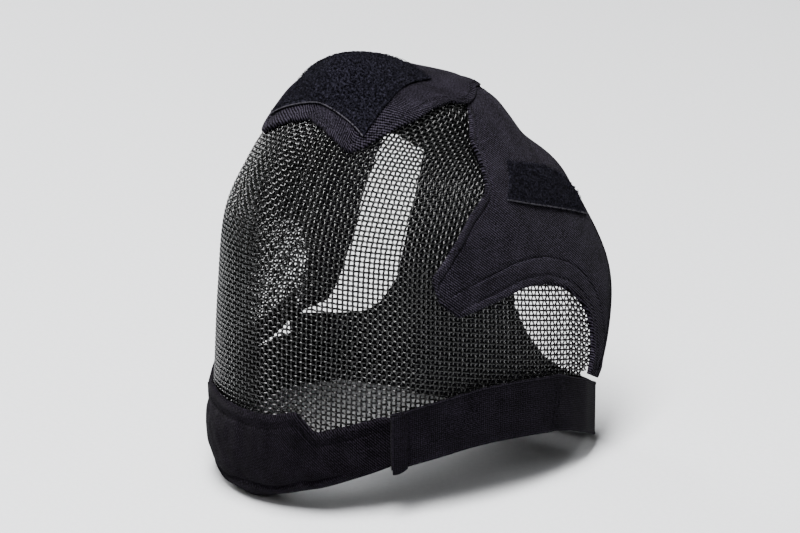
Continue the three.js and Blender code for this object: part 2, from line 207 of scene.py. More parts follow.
# Grid lines along which a patch is sewn down and edged
PATCH_SEAM_LINE, PATCH_EDGE_LINE = 7, 2
WOVEN_EDGE_THICKNESS, WOVEN_EDGE_SIDES = 0.9, 8

# Loop pile: loops to the square millimetre, height of a loop, thickness of its thread
PILE_DENSITY, PILE_HEIGHT, PILE_THREAD = 0.75, 1.25, 0.26
PILE_SEEDS = {"crown": 3, "left": 4, "right": 5}
# A loop: how far it goes past a half circle, its greatest lean and spin in radians, its range of sizes
LOOP_OVERHANG, LOOP_LEAN, LOOP_SPIN, LOOP_GROWTH = 0.5, 0.5, 3.14, (0.6, 1.3)
# A place inside the head, from which every patch faces away
HEAD_MIDDLE = Vector((0, EAR_LINE_Y * MM - 0.02, 0.12))

# Chin band by angle: top, bottom, padding from 0 to 1
BAND_STATIONS = np.array([
    [-96, 63, 47, 0], [-86, 56, 38, 0], [-80, 54, 37, 0], [-60, 55, 34, 0], [-46, 50, 22, 0],
    [-38, 53, 9, 0.1], [-30, 58, 4, 0.7], [-20, 58.5, 0, 1], [-7, 59, 0, 1], [0, 59.5, 4.5, 1],
    [6, 60.5, 8, 1], [14, 64.5, 12.8, 1], [20, 52.5, 15.8, 0.9], [26, 55.5, 20, 0.7],
    [38, 61.5, 29, 0.1], [46, 58, 36, 0], [60, 57, 38, 0], [80, 54, 37, 0],
], float)
# Its cross-section: share of the way down, padding, outer tuck, inner tuck, lift of the inner face
BAND_PROFILE = np.array([
    [0, 0, 0, 0, 0],
    [0.12, 2.0, 0, 0, 0],
    [0.35, 3.4, 0, 0, 0],
    [0.65, 3.6, 0, 0, 0],
    [0.86, 2.6, 0, 0, 0],
    [0.95, 1.0, -1.2, -1.2, 0.6],
    [1, 0, -5, -4.4, 1.8],
    [1, 0, -14, -12.2, 1.8],
], float)
CHIN_COLUMNS, CHIN_PROFILE_STEPS = 293, 8
# Degrees over which its top, its bottom and its padding change softly
CHIN_ROUNDING = (1.6, 5, 6)
# Millimetres to a degree, at the front and at its ends
CHIN_DEGREE, CHIN_END_DEGREE = 2.2, 1.8
CHIN_CALM, CHIN_CALM_DOWN, CHIN_HEM_SHARE = 12, 0.2, 0.9
CHIN_SEAM = 7.6
CHIN_SEAM_GROOVE = (CHIN_SEAM, 0.9, 1.2)
CHIN_SEWN_COLUMNS = slice(6, -6)
# Dent at the front, by angle and by share of the way down, and the crease under the padding
CHIN_DENT_BY_DEG, CHIN_DENT_DOWN = (4, 9, -2.2), (0.52, 0.2, 1)
CHIN_CREASE, CHIN_CREASE_WANDER, CHIN_CREASE_DEG = 0.83, 0.03, 5
CHIN_CREASE_CUT, CHIN_LIP_BELOW, CHIN_LIP = (0.03, 1.9), 0.07, (0.05, 1.3)
CHIN_FOLDED = (0.5, 0.9)
# Swelling of the padding: its cap, the push from behind, the slack of the cloth and the frames it settles in
CHIN_SWELL, CHIN_PRESSURE, CHIN_SLACK, CHIN_FRAMES = 2.5, 6, 0.03, 20
# Where it is padded, and where the cloth is held, by share of padding and of the way down
CHIN_PADDED, CHIN_PADDED_DOWN = 0.05, 0.93
CHIN_HELD, CHIN_HELD_DOWN, CHIN_HELD_PADDING = CHIN_SEAM + 0.8, 0.84, 0.25

# Back panel: height, half-width, y of its middle, how far its sides lie forward and up,
# and how far the ends of its lower bar turn forward and up
BACK_PANEL = np.array([
    [211.6, 19, 43.4, 8.8, 3, 0, 0],
    [202, 25, 45.4, 7, 1.5, 0, 0],
    [187, 37, 46.5, 5, 0, 0, 0],
    [178, 45, 46.8, 4, 0, 0, 0],
    [171, 49, 47, 4, 0, 0, 0],
    [167, 38, 47, 4, 0, 0, 0],
    [164, 25, 47, 4, 0, 0, 0],
    [140, 31, 47.5, 4, 0, 0, 0],
    [110, 38, 47, 4, 0, 0, 0],
    [78, 45, 46, 4, 0, 0, 0],
    [60, 57, 45, 3.5, 0, 0, 0],
    [52, 67, 44.5, 3, 0, 0, 0],
    [46, 83, 44, 2.5, 0, 0, 0],
    [42, 104, 44, 2, 0, 34, 9],
    [30, 104, 46, 2, -6, 34, 5],
], float)
BACK_COLUMNS, BACK_ROWS = 81, 90
# Its upper edges tuck under the side panels and, up and forward, under the crown
BACK_TUCK_SIDES, BACK_TUCK_SIDES_Z = 2.6, (168, 174)
BACK_TUCK_UP, BACK_TUCK_FORWARD, BACK_TUCK_TOP_Z = 3.0, 1.2, (205, 211)

# Neck strap: height of its lower edge on the left and on the right, round the jaw and then behind
STRAP_ON_JAW = np.array([
    [40, 28.7, 1], [48, 32.2, 1], [60, 36.4, 0.6], [68, 36.3, 0], [76, 34, 0], [84, 30.4, 0],
], float)
# Behind, the last two columns say how far the lower edge lies further in than the upper edge
STRAP_BEHIND = np.array([
    [111.4, 6, 26.2, 0, 0, 3],
    [109.6, 24, 18.8, 0, 0, 8],
    [101.4, 46, 8, 0.5, 0, 15],
    [87.5, 61.4, 0.6, 1.5, 0, 20],
    [86, 63.1, 0, 1.6, 0, 21],
    [83, 64, 0.2, 1.8, 1, 22],
    [60, 66.3, 3, 3, 10, 23],
    [30, 68, 5, 4, 18, 23],
    [0, 68.5, 5, 5, 22, 22],
], float)
STRAP_START_DEG = {"left": 40.0, "right": 56.0}
STRAP_END_DEG = 4.0
STRAP_COLUMN = {"left": 1, "right": 2}
SIDE_TURN = {"left": 1, "right": -1}
STRAP_WIDTH, STRAP_LENGTH = 34.5, 527
STRAP_ROWS, STRAP_STEP, STRAP_ROUNDING = 16, 1.6, 3.0
STRAP_JAW_STATIONS, STRAP_JAW_ROUNDING = 60, 6
STRAP_WELT, STRAP_WELT_FADE = 0.3, (1.5, 2.3)
# Upright stitches: their angles, and the heights above the lower edge that they run between
STRAP_SEAM_DEG, STRAP_SEAM_RUN = (82.6, 83.8), (4.0, 27.0)
STRAP_END_SEAM_SHARE, STRAP_END_SEAM_RUN = 0.72, (3.0, 31.0)
# Folded end: steps and width of its grid, lift of its free edge, bow, sag, and its clearance from the floor
STRAP_END_STEPS, STRAP_END_WIDTH = 8, 9.5
STRAP_END_LIFT, STRAP_END_BOW, STRAP_END_SAG = 2.4, 0.6, 1.6
FLOOR_CLEARANCE = 0.4

# Studio, in metres and watts; painted shade on the floor: its colour darkens between two distances from the
# middle of a painted pool of light
FLOOR_REACH = 6.0
PAINTED_POOL_MIDDLE, PAINTED_POOL_START, PAINTED_POOL_END = (-0.24, 0.32, 0.0), 0.66, 1.3
WORLD_LIGHT = 0.11
LAMP_AIM = Vector((0, 0, 0.11))
# Name, place, width, length, power
LAMPS = (
    ("side", (-1.9, 0.3, 0.8), 0.5, 0.5, 28.0),
    ("front", (0.9, -2.4, 2.0), 1.6, 1.6, 30.0),
    ("overhead", (0.3, -0.9, 2.9), 1.0, 2.4, 460.0),
)
# Camera in degrees and metres, its lens in millimetres, and where its target lies in the picture
CAMERA_AZIMUTH = 37.36
CAMERA_ELEVATION = 19.93
CAMERA_DISTANCE = 2.2
CAMERA_LENS, SENSOR_WIDTH = 165.0, 36.0
CAMERA_TARGET = Vector((0, EAR_LINE_Y * MM, 0.097))
TARGET_PIXEL = (413.72, 281.62)


# Head form

def between(a, b, c, d, f):
    """Smooth curve a share f of the way from b to c, where a comes before them and d after."""
    return b + 0.5 * f * (c - a + f * (2 * a - 5 * b + 4 * c - d + f * (3 * (b - c) + d - a)))


def form_rows():
    """The table of sections with a row added below it and one past the top."""
    first, second = SECTIONS[:2]
    beyond = SECTIONS[-2].copy()
    beyond[HALF] = -beyond[HALF]
    beyond[[FRONT, BACK]] = beyond[[BACK, FRONT]]
    return np.vstack([2 * first - second, SECTIONS, beyond])


FORM_ROWS = form_rows()


def section_at(level):
    """Section of the form at a level counted in rows of the table, smooth between them."""
    level = np.asarray(level, float)
    k = np.clip(np.floor(level).astype(int), 0, TOP_LEVEL - 1)
    return between(*(FORM_ROWS[k + n] for n in range(4)), (level - k)[..., None])


LEVELS = np.linspace(0, TOP_LEVEL, 6001)
LEVEL_HEIGHTS = section_at(LEVELS)[:, Z]


def level_at_height(z):
    return np.interp(z, LEVEL_HEIGHTS, LEVELS)


def reach_and_bluntness(s, ahead):
    """Reach of a section from its widest place, and its bluntness, ahead of that place or behind it."""
    reach = np.where(ahead, s[..., MID] - s[..., FRONT], s[..., BACK] - s[..., MID])
    return reach, np.where(ahead, s[..., BLUNT_FRONT], s[..., BLUNT_BACK])


def form_point(deg, level):
    s = section_at(level)
    angle = np.radians(deg)
    cos, sin = np.cos(angle), np.sin(angle)
    reach, blunt = reach_and_bluntness(s, cos > 0)
    x = s[..., HALF] * sin * (1 + blunt * cos ** 2)
    return np.stack([x, s[..., MID] - reach * cos, s[..., Z] + 0 * x], -1)


def unit(vectors):
    return vectors / np.maximum(np.linalg.norm(vectors, axis=-1, keepdims=True), 1e-12)


def form_normal(deg, level):
    level = np.minimum(level, NEAR_TOP)
    around = form_point(deg + 0.1, level) - form_point(deg - 0.1, level)
    up = form_point(deg, level + 0.001) - form_point(deg, np.maximum(level - 0.001, 0))
    return unit(np.cross(around, up))


def off_form(deg, level, offset):
    deg, level, offset = np.broadcast_arrays(*(np.asarray(v, float) for v in (deg, level, offset)))
    return form_point(deg, level) + form_normal(deg, level) * offset[..., None]


def skin(deg, z, offset):
    return off_form(deg, level_at_height(z), offset)


def place_above(x, y):
    """Angle and level of the form's top above a place seen from above."""
    x, y = np.broadcast_arrays(np.asarray(x, float), np.asarray(y, float))
    low = np.full(x.shape, UNDER_CROWN)
    high = np.full(x.shape, TOP_LEVEL - 0.0005)

    def cosine(level):
        s = section_at(level)
        ahead = s[..., MID] - y
        reach, blunt = reach_and_bluntness(s, ahead > 0)
        cos = np.clip(ahead / reach, -1, 1)
        widest = s[..., HALF] * np.sqrt(1 - cos ** 2) * (1 + blunt * cos ** 2)
        return cos, (np.abs(ahead) < reach) & (np.abs(x) < widest)

    for _ in range(40):
        middle = (low + high) / 2
        inside = cosine(middle)[1]
        low = np.where(inside, middle, low)
        high = np.where(inside, high, middle)
    deg = np.degrees(np.arccos(cosine(low)[0]))
    return np.where(x < 0, -deg, deg), low


def column(rows, at, k):
    """Column k of a table at a place along its first column."""
    return np.interp(at, rows[:, 0], rows[:, k])


def softened(rows, at, k, width):
    """The same with its corners rounded over a width."""
    return np.mean([column(rows, at + shift, k) for shift in np.linspace(-width / 2, width / 2, 7)], axis=0)


def crown_edge(deg):
    return softened(CROWN_EDGE, np.abs(deg), 1, CROWN_ROUNDING)


# Mesh building

def in_frame(points):
    """Table millimetres to metres in the shared frame."""
    return (np.asarray(points) + [0, EAR_LINE_Y, 0]) * MM


def new_object(name, data):
    made = bpy.data.objects.new(name, data)
    bpy.context.scene.collection.objects.link(made)
    return made


def arc_lengths(points):
    """Distance along each line of points, counted on the first axis."""
    steps = np.linalg.norm(np.diff(points, axis=0), axis=-1)
    return np.concatenate([np.zeros((1,) + steps.shape[1:]), np.cumsum(steps, axis=0)])


def shell(name, outer, inner, uv, ring=False):
    """Closed shell between two grids of points; edges where the grids meet are welded."""
    columns, rows = outer.shape[:2]
    count = columns - 1 if ring else columns
    index = np.arange(count * rows).reshape(count, rows)
    if ring:
        index = np.vstack([index, index[:1]])
    flip = count * rows
    faces = []
    corners = []

    def quad(a, b, c, d, ua, ub, uc, ud):
        faces.append((a, b, c, d))
        corners.extend((ua, ub, uc, ud))

    for i in range(columns - 1):
        for j in range(rows - 1):
            a, b, c, d = index[i, j], index[i + 1, j], index[i + 1, j + 1], index[i, j + 1]
            ua, ub, uc, ud = uv[i, j], uv[i + 1, j], uv[i + 1, j + 1], uv[i, j + 1]
            quad(a, b, c, d, ua, ub, uc, ud)
            quad(a + flip, d + flip, c + flip, b + flip, ua, ud, uc, ub)
        for j, turn in ((0, 1), (rows - 1, -1)):
            a, b = index[i, j], index[i + 1, j]
            loop = (b, a, a + flip, b + flip)[::turn]
            quad(*loop, *[uv[i, j]] * 4)
    if not ring:
        for i, turn in ((0, 1), (columns - 1, -1)):
            for j in range(rows - 1):
                a, b = index[i, j], index[i, j + 1]
                quad(*(a, b, b + flip, a + flip)[::turn], *[uv[i, j]] * 4)
    vertices = np.concatenate([outer[:count].reshape(-1, 3), inner[:count].reshape(-1, 3)])
    mesh = bpy.data.meshes.new(name)
    mesh.from_pydata(in_frame(vertices).tolist(), [], faces)
    layer = mesh.uv_layers.new(name="cloth")
    layer.data.foreach_set("uv", (np.array(corners) * MM).astype(np.float32).ravel())
    work = bmesh.new()
    work.from_mesh(mesh)
    bmesh.ops.remove_doubles(work, verts=work.verts, dist=1e-6)
    bmesh.ops.dissolve_degenerate(work, edges=work.edges, dist=1e-7)
    work.to_mesh(mesh)
    work.free()
    mesh.shade_smooth()
    return new_object(name, mesh)


def edge_steps(length, middle_steps, offsets):
    """Distances from 0 to a length: the given offsets at both ends and even steps between."""
    offsets = np.asarray(offsets)
    near = offsets * np.minimum(1.0, length / (NARROW_STRIP * offsets[-1]))
    middle = np.linspace(near[-1], length - near[-1], middle_steps + 1)[1:-1]
    return np.concatenate([near, middle, length - near[::-1]])


def rounded(distance, half):
    """Share of the thickness near a cut edge, so that the edge is round."""
    return np.sqrt(np.clip(1 - (1 - np.clip(distance / half, 0, 1)) ** 2, 0, 1))


def swell(place, middle, width, height):
    """Smooth ridge of a height, or groove, round a middle."""
    return height * np.exp(-((place - middle) / width) ** 2)


def step_up(place, start, end):
    """Smooth rise from 0 to 1 between a start and an end."""
    share = np.clip((place - start) / (end - start), 0, 1)
    return share * share * (3 - 2 * share)


def hem_rise(distance):
    """How far a rolled hem stands up from the cloth, with the groove of its stitches and a low welt."""
    roll = HEM_RISE * np.sqrt(np.clip(1 - ((distance - HEM_ROLL_MIDDLE) / HEM_ROLL_HALF) ** 2, 0, 1))
    groove = swell(distance, HEM_WIDTH, HEM_GROOVE_WIDTH, HEM_GROOVE_DEPTH)
    return roll - groove + swell(distance, HEM_WELT_PLACE, HEM_WELT_WIDTH, HEM_WELT_RISE)


def ripple(points, height, size, seed, outward):
    """Smooth unevenness of a height that changes over a size, with a share of it always outward."""
    shift = Vector((seed * 17.3, seed * 5.1, seed * 9.7))
    values = [noise.noise(Vector(p) + shift) for p in points.reshape(-1, 3) / size]
    return height * (np.array(values).reshape(points.shape[:-1]) + outward)


def calmed(distance, width):
    """Share of the unevenness by the distance from an edge: none on the hem, all of it past a width."""
    return np.clip((distance - CALM_BESIDE_HEM) / width, 0, 1)


def strip_grid(stations, steps_along, steps_across, offsets_along, offsets_across):
    """Angle and height over a strip between two edges, with the distances to its four edges."""
    dense = np.linspace(0, len(stations) - 1, 60 * (len(stations) - 1) + 1)
    soft = np.array([np.mean([np.interp(dense + s, np.arange(len(stations)), stations[:, k])
                              for s in np.linspace(-0.12, 0.12, 5)], axis=0) for k in range(4)])
    middle = skin((soft[0] + soft[2]) / 2, (soft[1] + soft[3]) / 2, CLOTH_MIDDLE)
    outline = skin(soft[2], soft[3], CLOTH_MIDDLE)
    along = 0.5 * (arc_lengths(middle) + arc_lengths(outline))
    wanted = edge_steps(along[-1], steps_along, offsets_along)
    place = np.interp(wanted, along, dense)
    edges = [np.interp(place, dense, soft[k]) for k in range(4)]
    share = np.linspace(0, 1, 201)[:, None]
    line_deg = edges[0] + (edges[2] - edges[0]) * share
    line_z = edges[1] + (edges[3] - edges[1]) * share
    run = arc_lengths(skin(line_deg, line_z, CLOTH_MIDDLE))
    deg, z, from_near, from_far = [], [], [], []
    for k in range(len(place)):
        steps = edge_steps(run[-1, k], steps_across, offsets_across)
        deg.append(np.interp(steps, run[:, k], line_deg[:, k]))
        z.append(np.interp(steps, run[:, k], line_z[:, k]))
        from_near.append(steps)
        from_far.append(run[-1, k] - steps)
    ends = np.minimum(wanted, along[-1] - wanted)[:, None]
    uv = np.stack([np.broadcast_to(wanted[:, None], np.shape(deg)), np.array(from_near)], -1)
    return np.array(deg), np.array(z), np.array(from_near), np.array(from_far), ends, uv


def line_on_grid(points, distances, wanted):
    """Points of a grid where the distance along its rows reaches a wanted value."""
    line = []
    for run, across in zip(points, distances):
        line.append([np.interp(wanted, across, run[:, k]) for k in range(3)])
    return np.array(line)


# Node trees

def colour(code):
    """sRGB hex value as linear RGBA."""
    parts = [int(code[k:k + 2], 16) / 255 for k in (1, 3, 5)]
    linear = [p / 12.92 if p <= 0.04045 else ((p + 0.055) / 1.055) ** 2.4 for p in parts]
    return (*linear, 1.0)


def add(tree, kind, inputs=None, stops=(), **settings):
    """One node with its settings; inputs are values, or sockets to link from, and stops a ramp's colours."""
    made = tree.nodes.new(kind)
    for name, value in settings.items():
        setattr(made, name, value)
    for k, (place, code) in enumerate(stops):
        made.color_ramp.elements[k].position = place
        made.color_ramp.elements[k].color = colour(code)
    for socket, value in (inputs or {}).items():
        if isinstance(value, bpy.types.NodeSocket):
            tree.links.new(value, made.inputs[socket])
        else:
            made.inputs[socket].default_value = value
    return made


def wave(tree, value, turn):
    """Sine of a length, with turn radians to the metre."""
    angle = add(tree, "ShaderNodeMath", {0: value, 1: turn}, operation="MULTIPLY")
    return add(tree, "ShaderNodeMath", {0: angle.outputs[0]}, operation="SINE").outputs[0]


def summed(tree, total, *patterns):
    """A value with a share of each pattern added to it."""
    for pattern, share in patterns:
        step = add(tree, "ShaderNodeMath", {0: pattern, 1: share, 2: total}, operation="MULTIPLY_ADD")
        total = step.outputs[0]
    return total


def new_material(name):
    material = bpy.data.materials.new(name)
    material.use_nodes = True
    material.node_tree.nodes.clear()
    return material, material.node_tree


def finish_material(material, surface):
    """Give a material its surface, from plain values and from patterns."""
    shader = add(material.node_tree, "ShaderNodeBsdfPrincipled", surface)
    add(material.node_tree, "ShaderNodeOutputMaterial", {"Surface": shader.outputs["BSDF"]})
    return material


def painted_wire():
    """Steel wire dipped in black paint: semi-gloss, a little uneven, with a small light at each crossing."""
    material, tree = new_material("black painted steel wire")
    place = add(tree, "ShaderNodeTexCoord").outputs["Object"]
    mottle = add(tree, "ShaderNodeTexNoise", {"Vector": place, "Scale": 1 / (9 * MM), "Detail": 3.0})
    grain = add(tree, "ShaderNodeTexNoise", {"Vector": place, "Scale": 1 / (0.5 * MM), "Detail": 2.0})
    tone = add(tree, "ShaderNodeValToRGB", {"Fac": mottle.outputs["Fac"]}, (
        (0.3, "#030303"), (0.7, "#080808")))
    rough = add(tree, "ShaderNodeMapRange", {"Value": mottle.outputs["Fac"], "To Min": 0.12, "To Max": 0.2})
    bump = add(tree, "ShaderNodeBump", {
        "Height": grain.outputs["Fac"], "Strength": 0.15, "Distance": 0.05 * MM})
    return finish_material(material, {
        "Base Color": tone.outputs["Color"], "Roughness": rough.outputs["Result"],
        "Specular IOR Level": 0.5, "Normal": bump.outputs["Normal"]})


def nylon_canvas(name, dark, light):
    """Woven nylon canvas: matt near-black with a faint purple cast, a diagonal weave and paler specks.

    The real threads are about 0.45 mm apart; the diagonal is drawn 1.8 mm apart so that it shows.
    """
    material, tree = new_material(name)
    uv = add(tree, "ShaderNodeUVMap", uv_map="cloth").outputs["UV"]
    split = add(tree, "ShaderNodeSeparateXYZ", {"Vector": uv}).outputs
    turn = 2 * math.pi / (1.8 * MM)
    diagonal = add(tree, "ShaderNodeMath", {0: split["X"], 1: split["Y"]}, operation="ADD")
    rib = wave(tree, diagonal.outputs[0], turn)
    thread = wave(tree, split["X"], turn * 1.45)
    weave = summed(tree, rib, (thread, 0.5))
    wear = add(tree, "ShaderNodeTexNoise", {
        "Vector": uv, "Scale": 1 / (14 * MM), "Detail": 5.0, "Roughness": 0.6}).outputs["Fac"]
    fuzz = add(tree, "ShaderNodeTexNoise", {
        "Vector": uv, "Scale": 1 / (1.1 * MM), "Detail": 2.0}).outputs["Fac"]
    shade = summed(tree, -0.2, (wear, 0.3), (weave, 0.14), (fuzz, 0.75))
    tone = add(tree, "ShaderNodeValToRGB", {"Fac": shade}, ((0.24, dark), (0.72, light)))
    bump = add(tree, "ShaderNodeBump", {
        "Height": summed(tree, weave, (fuzz, 1.5)), "Strength": 0.8, "Distance": 0.2 * MM})
    return finish_material(material, {
        "Base Color": tone.outputs["Color"], "Roughness": 0.9, "Specular IOR Level": 0.012,
        "Sheen Weight": 0.008, "Sheen Roughness": 0.45, "Normal": bump.outputs["Normal"]})


def loop_pile():
    """Loop-fastener fabric: a bluish black nap of tiny loops that swallows the light."""
    material, tree = new_material("black loop fastener pile")
    place = add(tree, "ShaderNodeTexCoord").outputs["Object"]
    nap = add(tree, "ShaderNodeTexNoise", {
        "Vector": place, "Scale": 1 / (1.3 * MM), "Detail": 3.0, "Roughness": 0.7}).outputs["Fac"]
    tone = add(tree, "ShaderNodeValToRGB", {"Fac": nap}, ((0.42, "#010102"), (0.7, "#201f28")))
    bump = add(tree, "ShaderNodeBump", {"Height": nap, "Strength": 0.9, "Distance": 0.5 * MM})
    return finish_material(material, {
        "Base Color": tone.outputs["Color"], "Roughness": 0.95, "Specular IOR Level": 0.01,
        "Sheen Weight": 0.006, "Sheen Roughness": 0.6, "Normal": bump.outputs["Normal"]})


def elastic_webbing():
    """Woven elastic: fine ribs along its length, 1.2 mm apart as on such webbing, with a soft sheen."""
    material, tree = new_material("black elastic webbing")
    uv = add(tree, "ShaderNodeUVMap", uv_map="cloth").outputs["UV"]
    split = add(tree, "ShaderNodeSeparateXYZ", {"Vector": uv}).outputs
    rib = wave(tree, split["Y"], 2 * math.pi / (1.2 * MM))
    pick = wave(tree, split["X"], 2 * math.pi / (1.3 * MM))
    weave = summed(tree, pick, (rib, 1.0))
    wear = add(tree, "ShaderNodeTexNoise", {
        "Vector": uv, "Scale": 1 / (18 * MM), "Detail": 5.0, "Roughness": 0.6}).outputs["Fac"]
    lint = add(tree, "ShaderNodeTexNoise", {
        "Vector": uv, "Scale": 1 / (0.9 * MM), "Detail": 2.0}).outputs["Fac"]
    shade = summed(tree, -0.17, (wear, 0.25), (weave, 0.08), (lint, 0.75))
    tone = add(tree, "ShaderNodeValToRGB", {"Fac": shade}, ((0.24, "#000000"), (0.72, "#242029")))
    bump = add(tree, "ShaderNodeBump", {"Height": weave, "Strength": 0.6, "Distance": 0.12 * MM})
    return finish_material(material, {
        "Base Color": tone.outputs["Color"], "Roughness": 0.85, "Specular IOR Level": 0.02,
        "Sheen Weight": 0.008, "Sheen Roughness": 0.4, "Normal": bump.outputs["Normal"]})


def polyester_thread(name, dark, light, shine):
    """Twisted black polyester thread: smoother than the cloth, so that it shows as a fine line."""
    material, tree = new_material(name)
    place = add(tree, "ShaderNodeTexCoord").outputs["Object"]
    twist = add(tree, "ShaderNodeTexNoise", {"Vector": place, "Scale": 1 / (0.6 * MM), "Detail": 1.0})
    tone = add(tree, "ShaderNodeValToRGB", {"Fac": twist.outputs["Fac"]}, ((0.3, dark), (0.7, light)))
    return finish_material(material, {
        "Base Color": tone.outputs["Color"], "Roughness": 0.6, "Specular IOR Level": shine})


def floor_paper():
    """Pale studio paper: clean and matt, a light grey that the lamps bring to near white.

    Its colour is painted darker in a wide circle round the mask, a painted pool of light with painted shade
    beyond it, so that the wires mirror less of it.
    """
    material, tree = new_material("pale studio paper with painted light pool")
    place = add(tree, "ShaderNodeTexCoord").outputs["Object"]
    tooth = add(tree, "ShaderNodeTexNoise", {"Vector": place, "Scale": 1 / (3 * MM), "Detail": 2.0})
    away = add(tree, "ShaderNodeVectorMath", {0: place, 1: PAINTED_POOL_MIDDLE}, operation="DISTANCE")
    painted_falloff = add(tree, "ShaderNodeMapRange", {
        "Value": away.outputs["Value"], "From Min": PAINTED_POOL_START, "From Max": PAINTED_POOL_END},
        interpolation_type="SMOOTHSTEP")
    paper = add(tree, "ShaderNodeValToRGB", {"Fac": tooth.outputs["Fac"]}, (
        (0.3, "#bfc0c2"), (0.7, "#c4c5c7")))
    # Painted shade: the paper's colour turns to dark grey away from the painted pool of light
    shade = add(tree, "ShaderNodeMix", {
        "Factor": painted_falloff.outputs["Result"], "A": paper.outputs["Color"], "B": colour("#505153")},
        data_type="RGBA")
    return finish_material(material, {"Base Color": shade.outputs["Result"], "Roughness": 0.9})


WIRE = painted_wire()
CANVAS = nylon_canvas("black nylon canvas", "#000000", "#38343f")
# The same canvas with a darker light tone for the chin band: painted shade, as the upright band gets less of
# the overhead light
SHADED_CHIN_CANVAS = nylon_canvas("black nylon canvas with painted shade", "#000000", "#242028")
PILE = loop_pile()
ELASTIC = elastic_webbing()
# Stitching thread: black thread, taken darker than the cloth as painted shade along the stitch lines
THREAD = polyester_thread("black polyester thread", "#020203", "#0c0b0d", 0.01)
WOVEN_EDGE = polyester_thread("woven polyester edge", "#1c1b1f", "#343238", 0.12)


def new_tree(name, sockets):
    """Empty geometry tree with a geometry in and out and the given named inputs."""
    tree = bpy.data.node_groups.new(name, "GeometryNodeTree")
    tree.interface.new_socket("Geometry", in_out="OUTPUT", socket_type="NodeSocketGeometry")
    tree.interface.new_socket("Geometry", in_out="INPUT", socket_type="NodeSocketGeometry")
    for label, kind in sockets:
        tree.interface.new_socket(label, in_out="INPUT", socket_type="NodeSocket" + kind)
    return tree, add(tree, "NodeGroupInput").outputs


def finish_tree(tree, geometry, material):
    whole = add(tree, "GeometryNodeRealizeInstances", {"Geometry": geometry})
    dressed = add(tree, "GeometryNodeSetMaterial", {
        "Geometry": whole.outputs["Geometry"], "Material": material})
    add(tree, "NodeGroupOutput", {"Geometry": dressed.outputs["Geometry"]})
    return tree


def drawn_wire_tree():
    tree, given = new_tree("drawn wire", [("Thickness", "Float"), ("Sides", "Int"), ("Finish", "Material")])
    line = add(tree, "GeometryNodeMeshToCurve", {"Mesh": given["Geometry"]})
    radius = add(tree, "ShaderNodeMath", {0: given["Thickness"], 1: 0.5}, operation="MULTIPLY")
    ring = add(tree, "GeometryNodeCurvePrimitiveCircle", {
        "Resolution": given["Sides"], "Radius": radius.outputs[0]})
    tube = add(tree, "GeometryNodeCurveToMesh", {
        "Curve": line.outputs["Curve"], "Profile Curve": ring.outputs["Curve"], "Fill Caps": True})
    smooth = add(tree, "GeometryNodeSetShadeSmooth", {"Geometry": tube.outputs["Mesh"]})
    return finish_tree(tree, smooth.outputs["Geometry"], given["Finish"])


def stitching_tree():
    tree, given = new_tree("running stitches", [
        ("Spacing", "Float"), ("Length", "Float"), ("Thickness", "Float"), ("Finish", "Material")])
    line = add(tree, "GeometryNodeMeshToCurve", {"Mesh": given["Geometry"]})
    beads = add(tree, "GeometryNodeResampleCurve", {
        "Curve": line.outputs["Curve"], "Length": given["Spacing"]}, mode="LENGTH")
    points = add(tree, "GeometryNodeCurveToPoints", {"Curve": beads.outputs["Curve"]}, mode="EVALUATED")
    up = add(tree, "GeometryNodeInputNamedAttribute", {"Name": "up"}, data_type="FLOAT_VECTOR")
    facing = add(tree, "FunctionNodeAlignRotationToVector", {
        "Vector": points.outputs["Tangent"]}, axis="X")
    facing = add(tree, "FunctionNodeAlignRotationToVector", {
        "Rotation": facing.outputs["Rotation"], "Vector": up.outputs["Attribute"]}, axis="Z", pivot_axis="X")
    bead = add(tree, "GeometryNodeMeshUVSphere", {"Segments": 6, "Rings": 5, "Radius": 0.5})
    size = add(tree, "ShaderNodeCombineXYZ", {
        "X": given["Length"], "Y": given["Thickness"], "Z": given["Thickness"]})
    stitch = add(tree, "GeometryNodeTransform", {
        "Geometry": bead.outputs["Mesh"], "Scale": size.outputs["Vector"]})
    smooth = add(tree, "GeometryNodeSetShadeSmooth", {"Geometry": stitch.outputs["Geometry"]})
    sewn = add(tree, "GeometryNodeInstanceOnPoints", {
        "Points": points.outputs["Points"], "Instance": smooth.outputs["Geometry"],
        "Rotation": facing.outputs["Rotation"]})
    return finish_tree(tree, sewn.outputs["Instances"], given["Finish"])


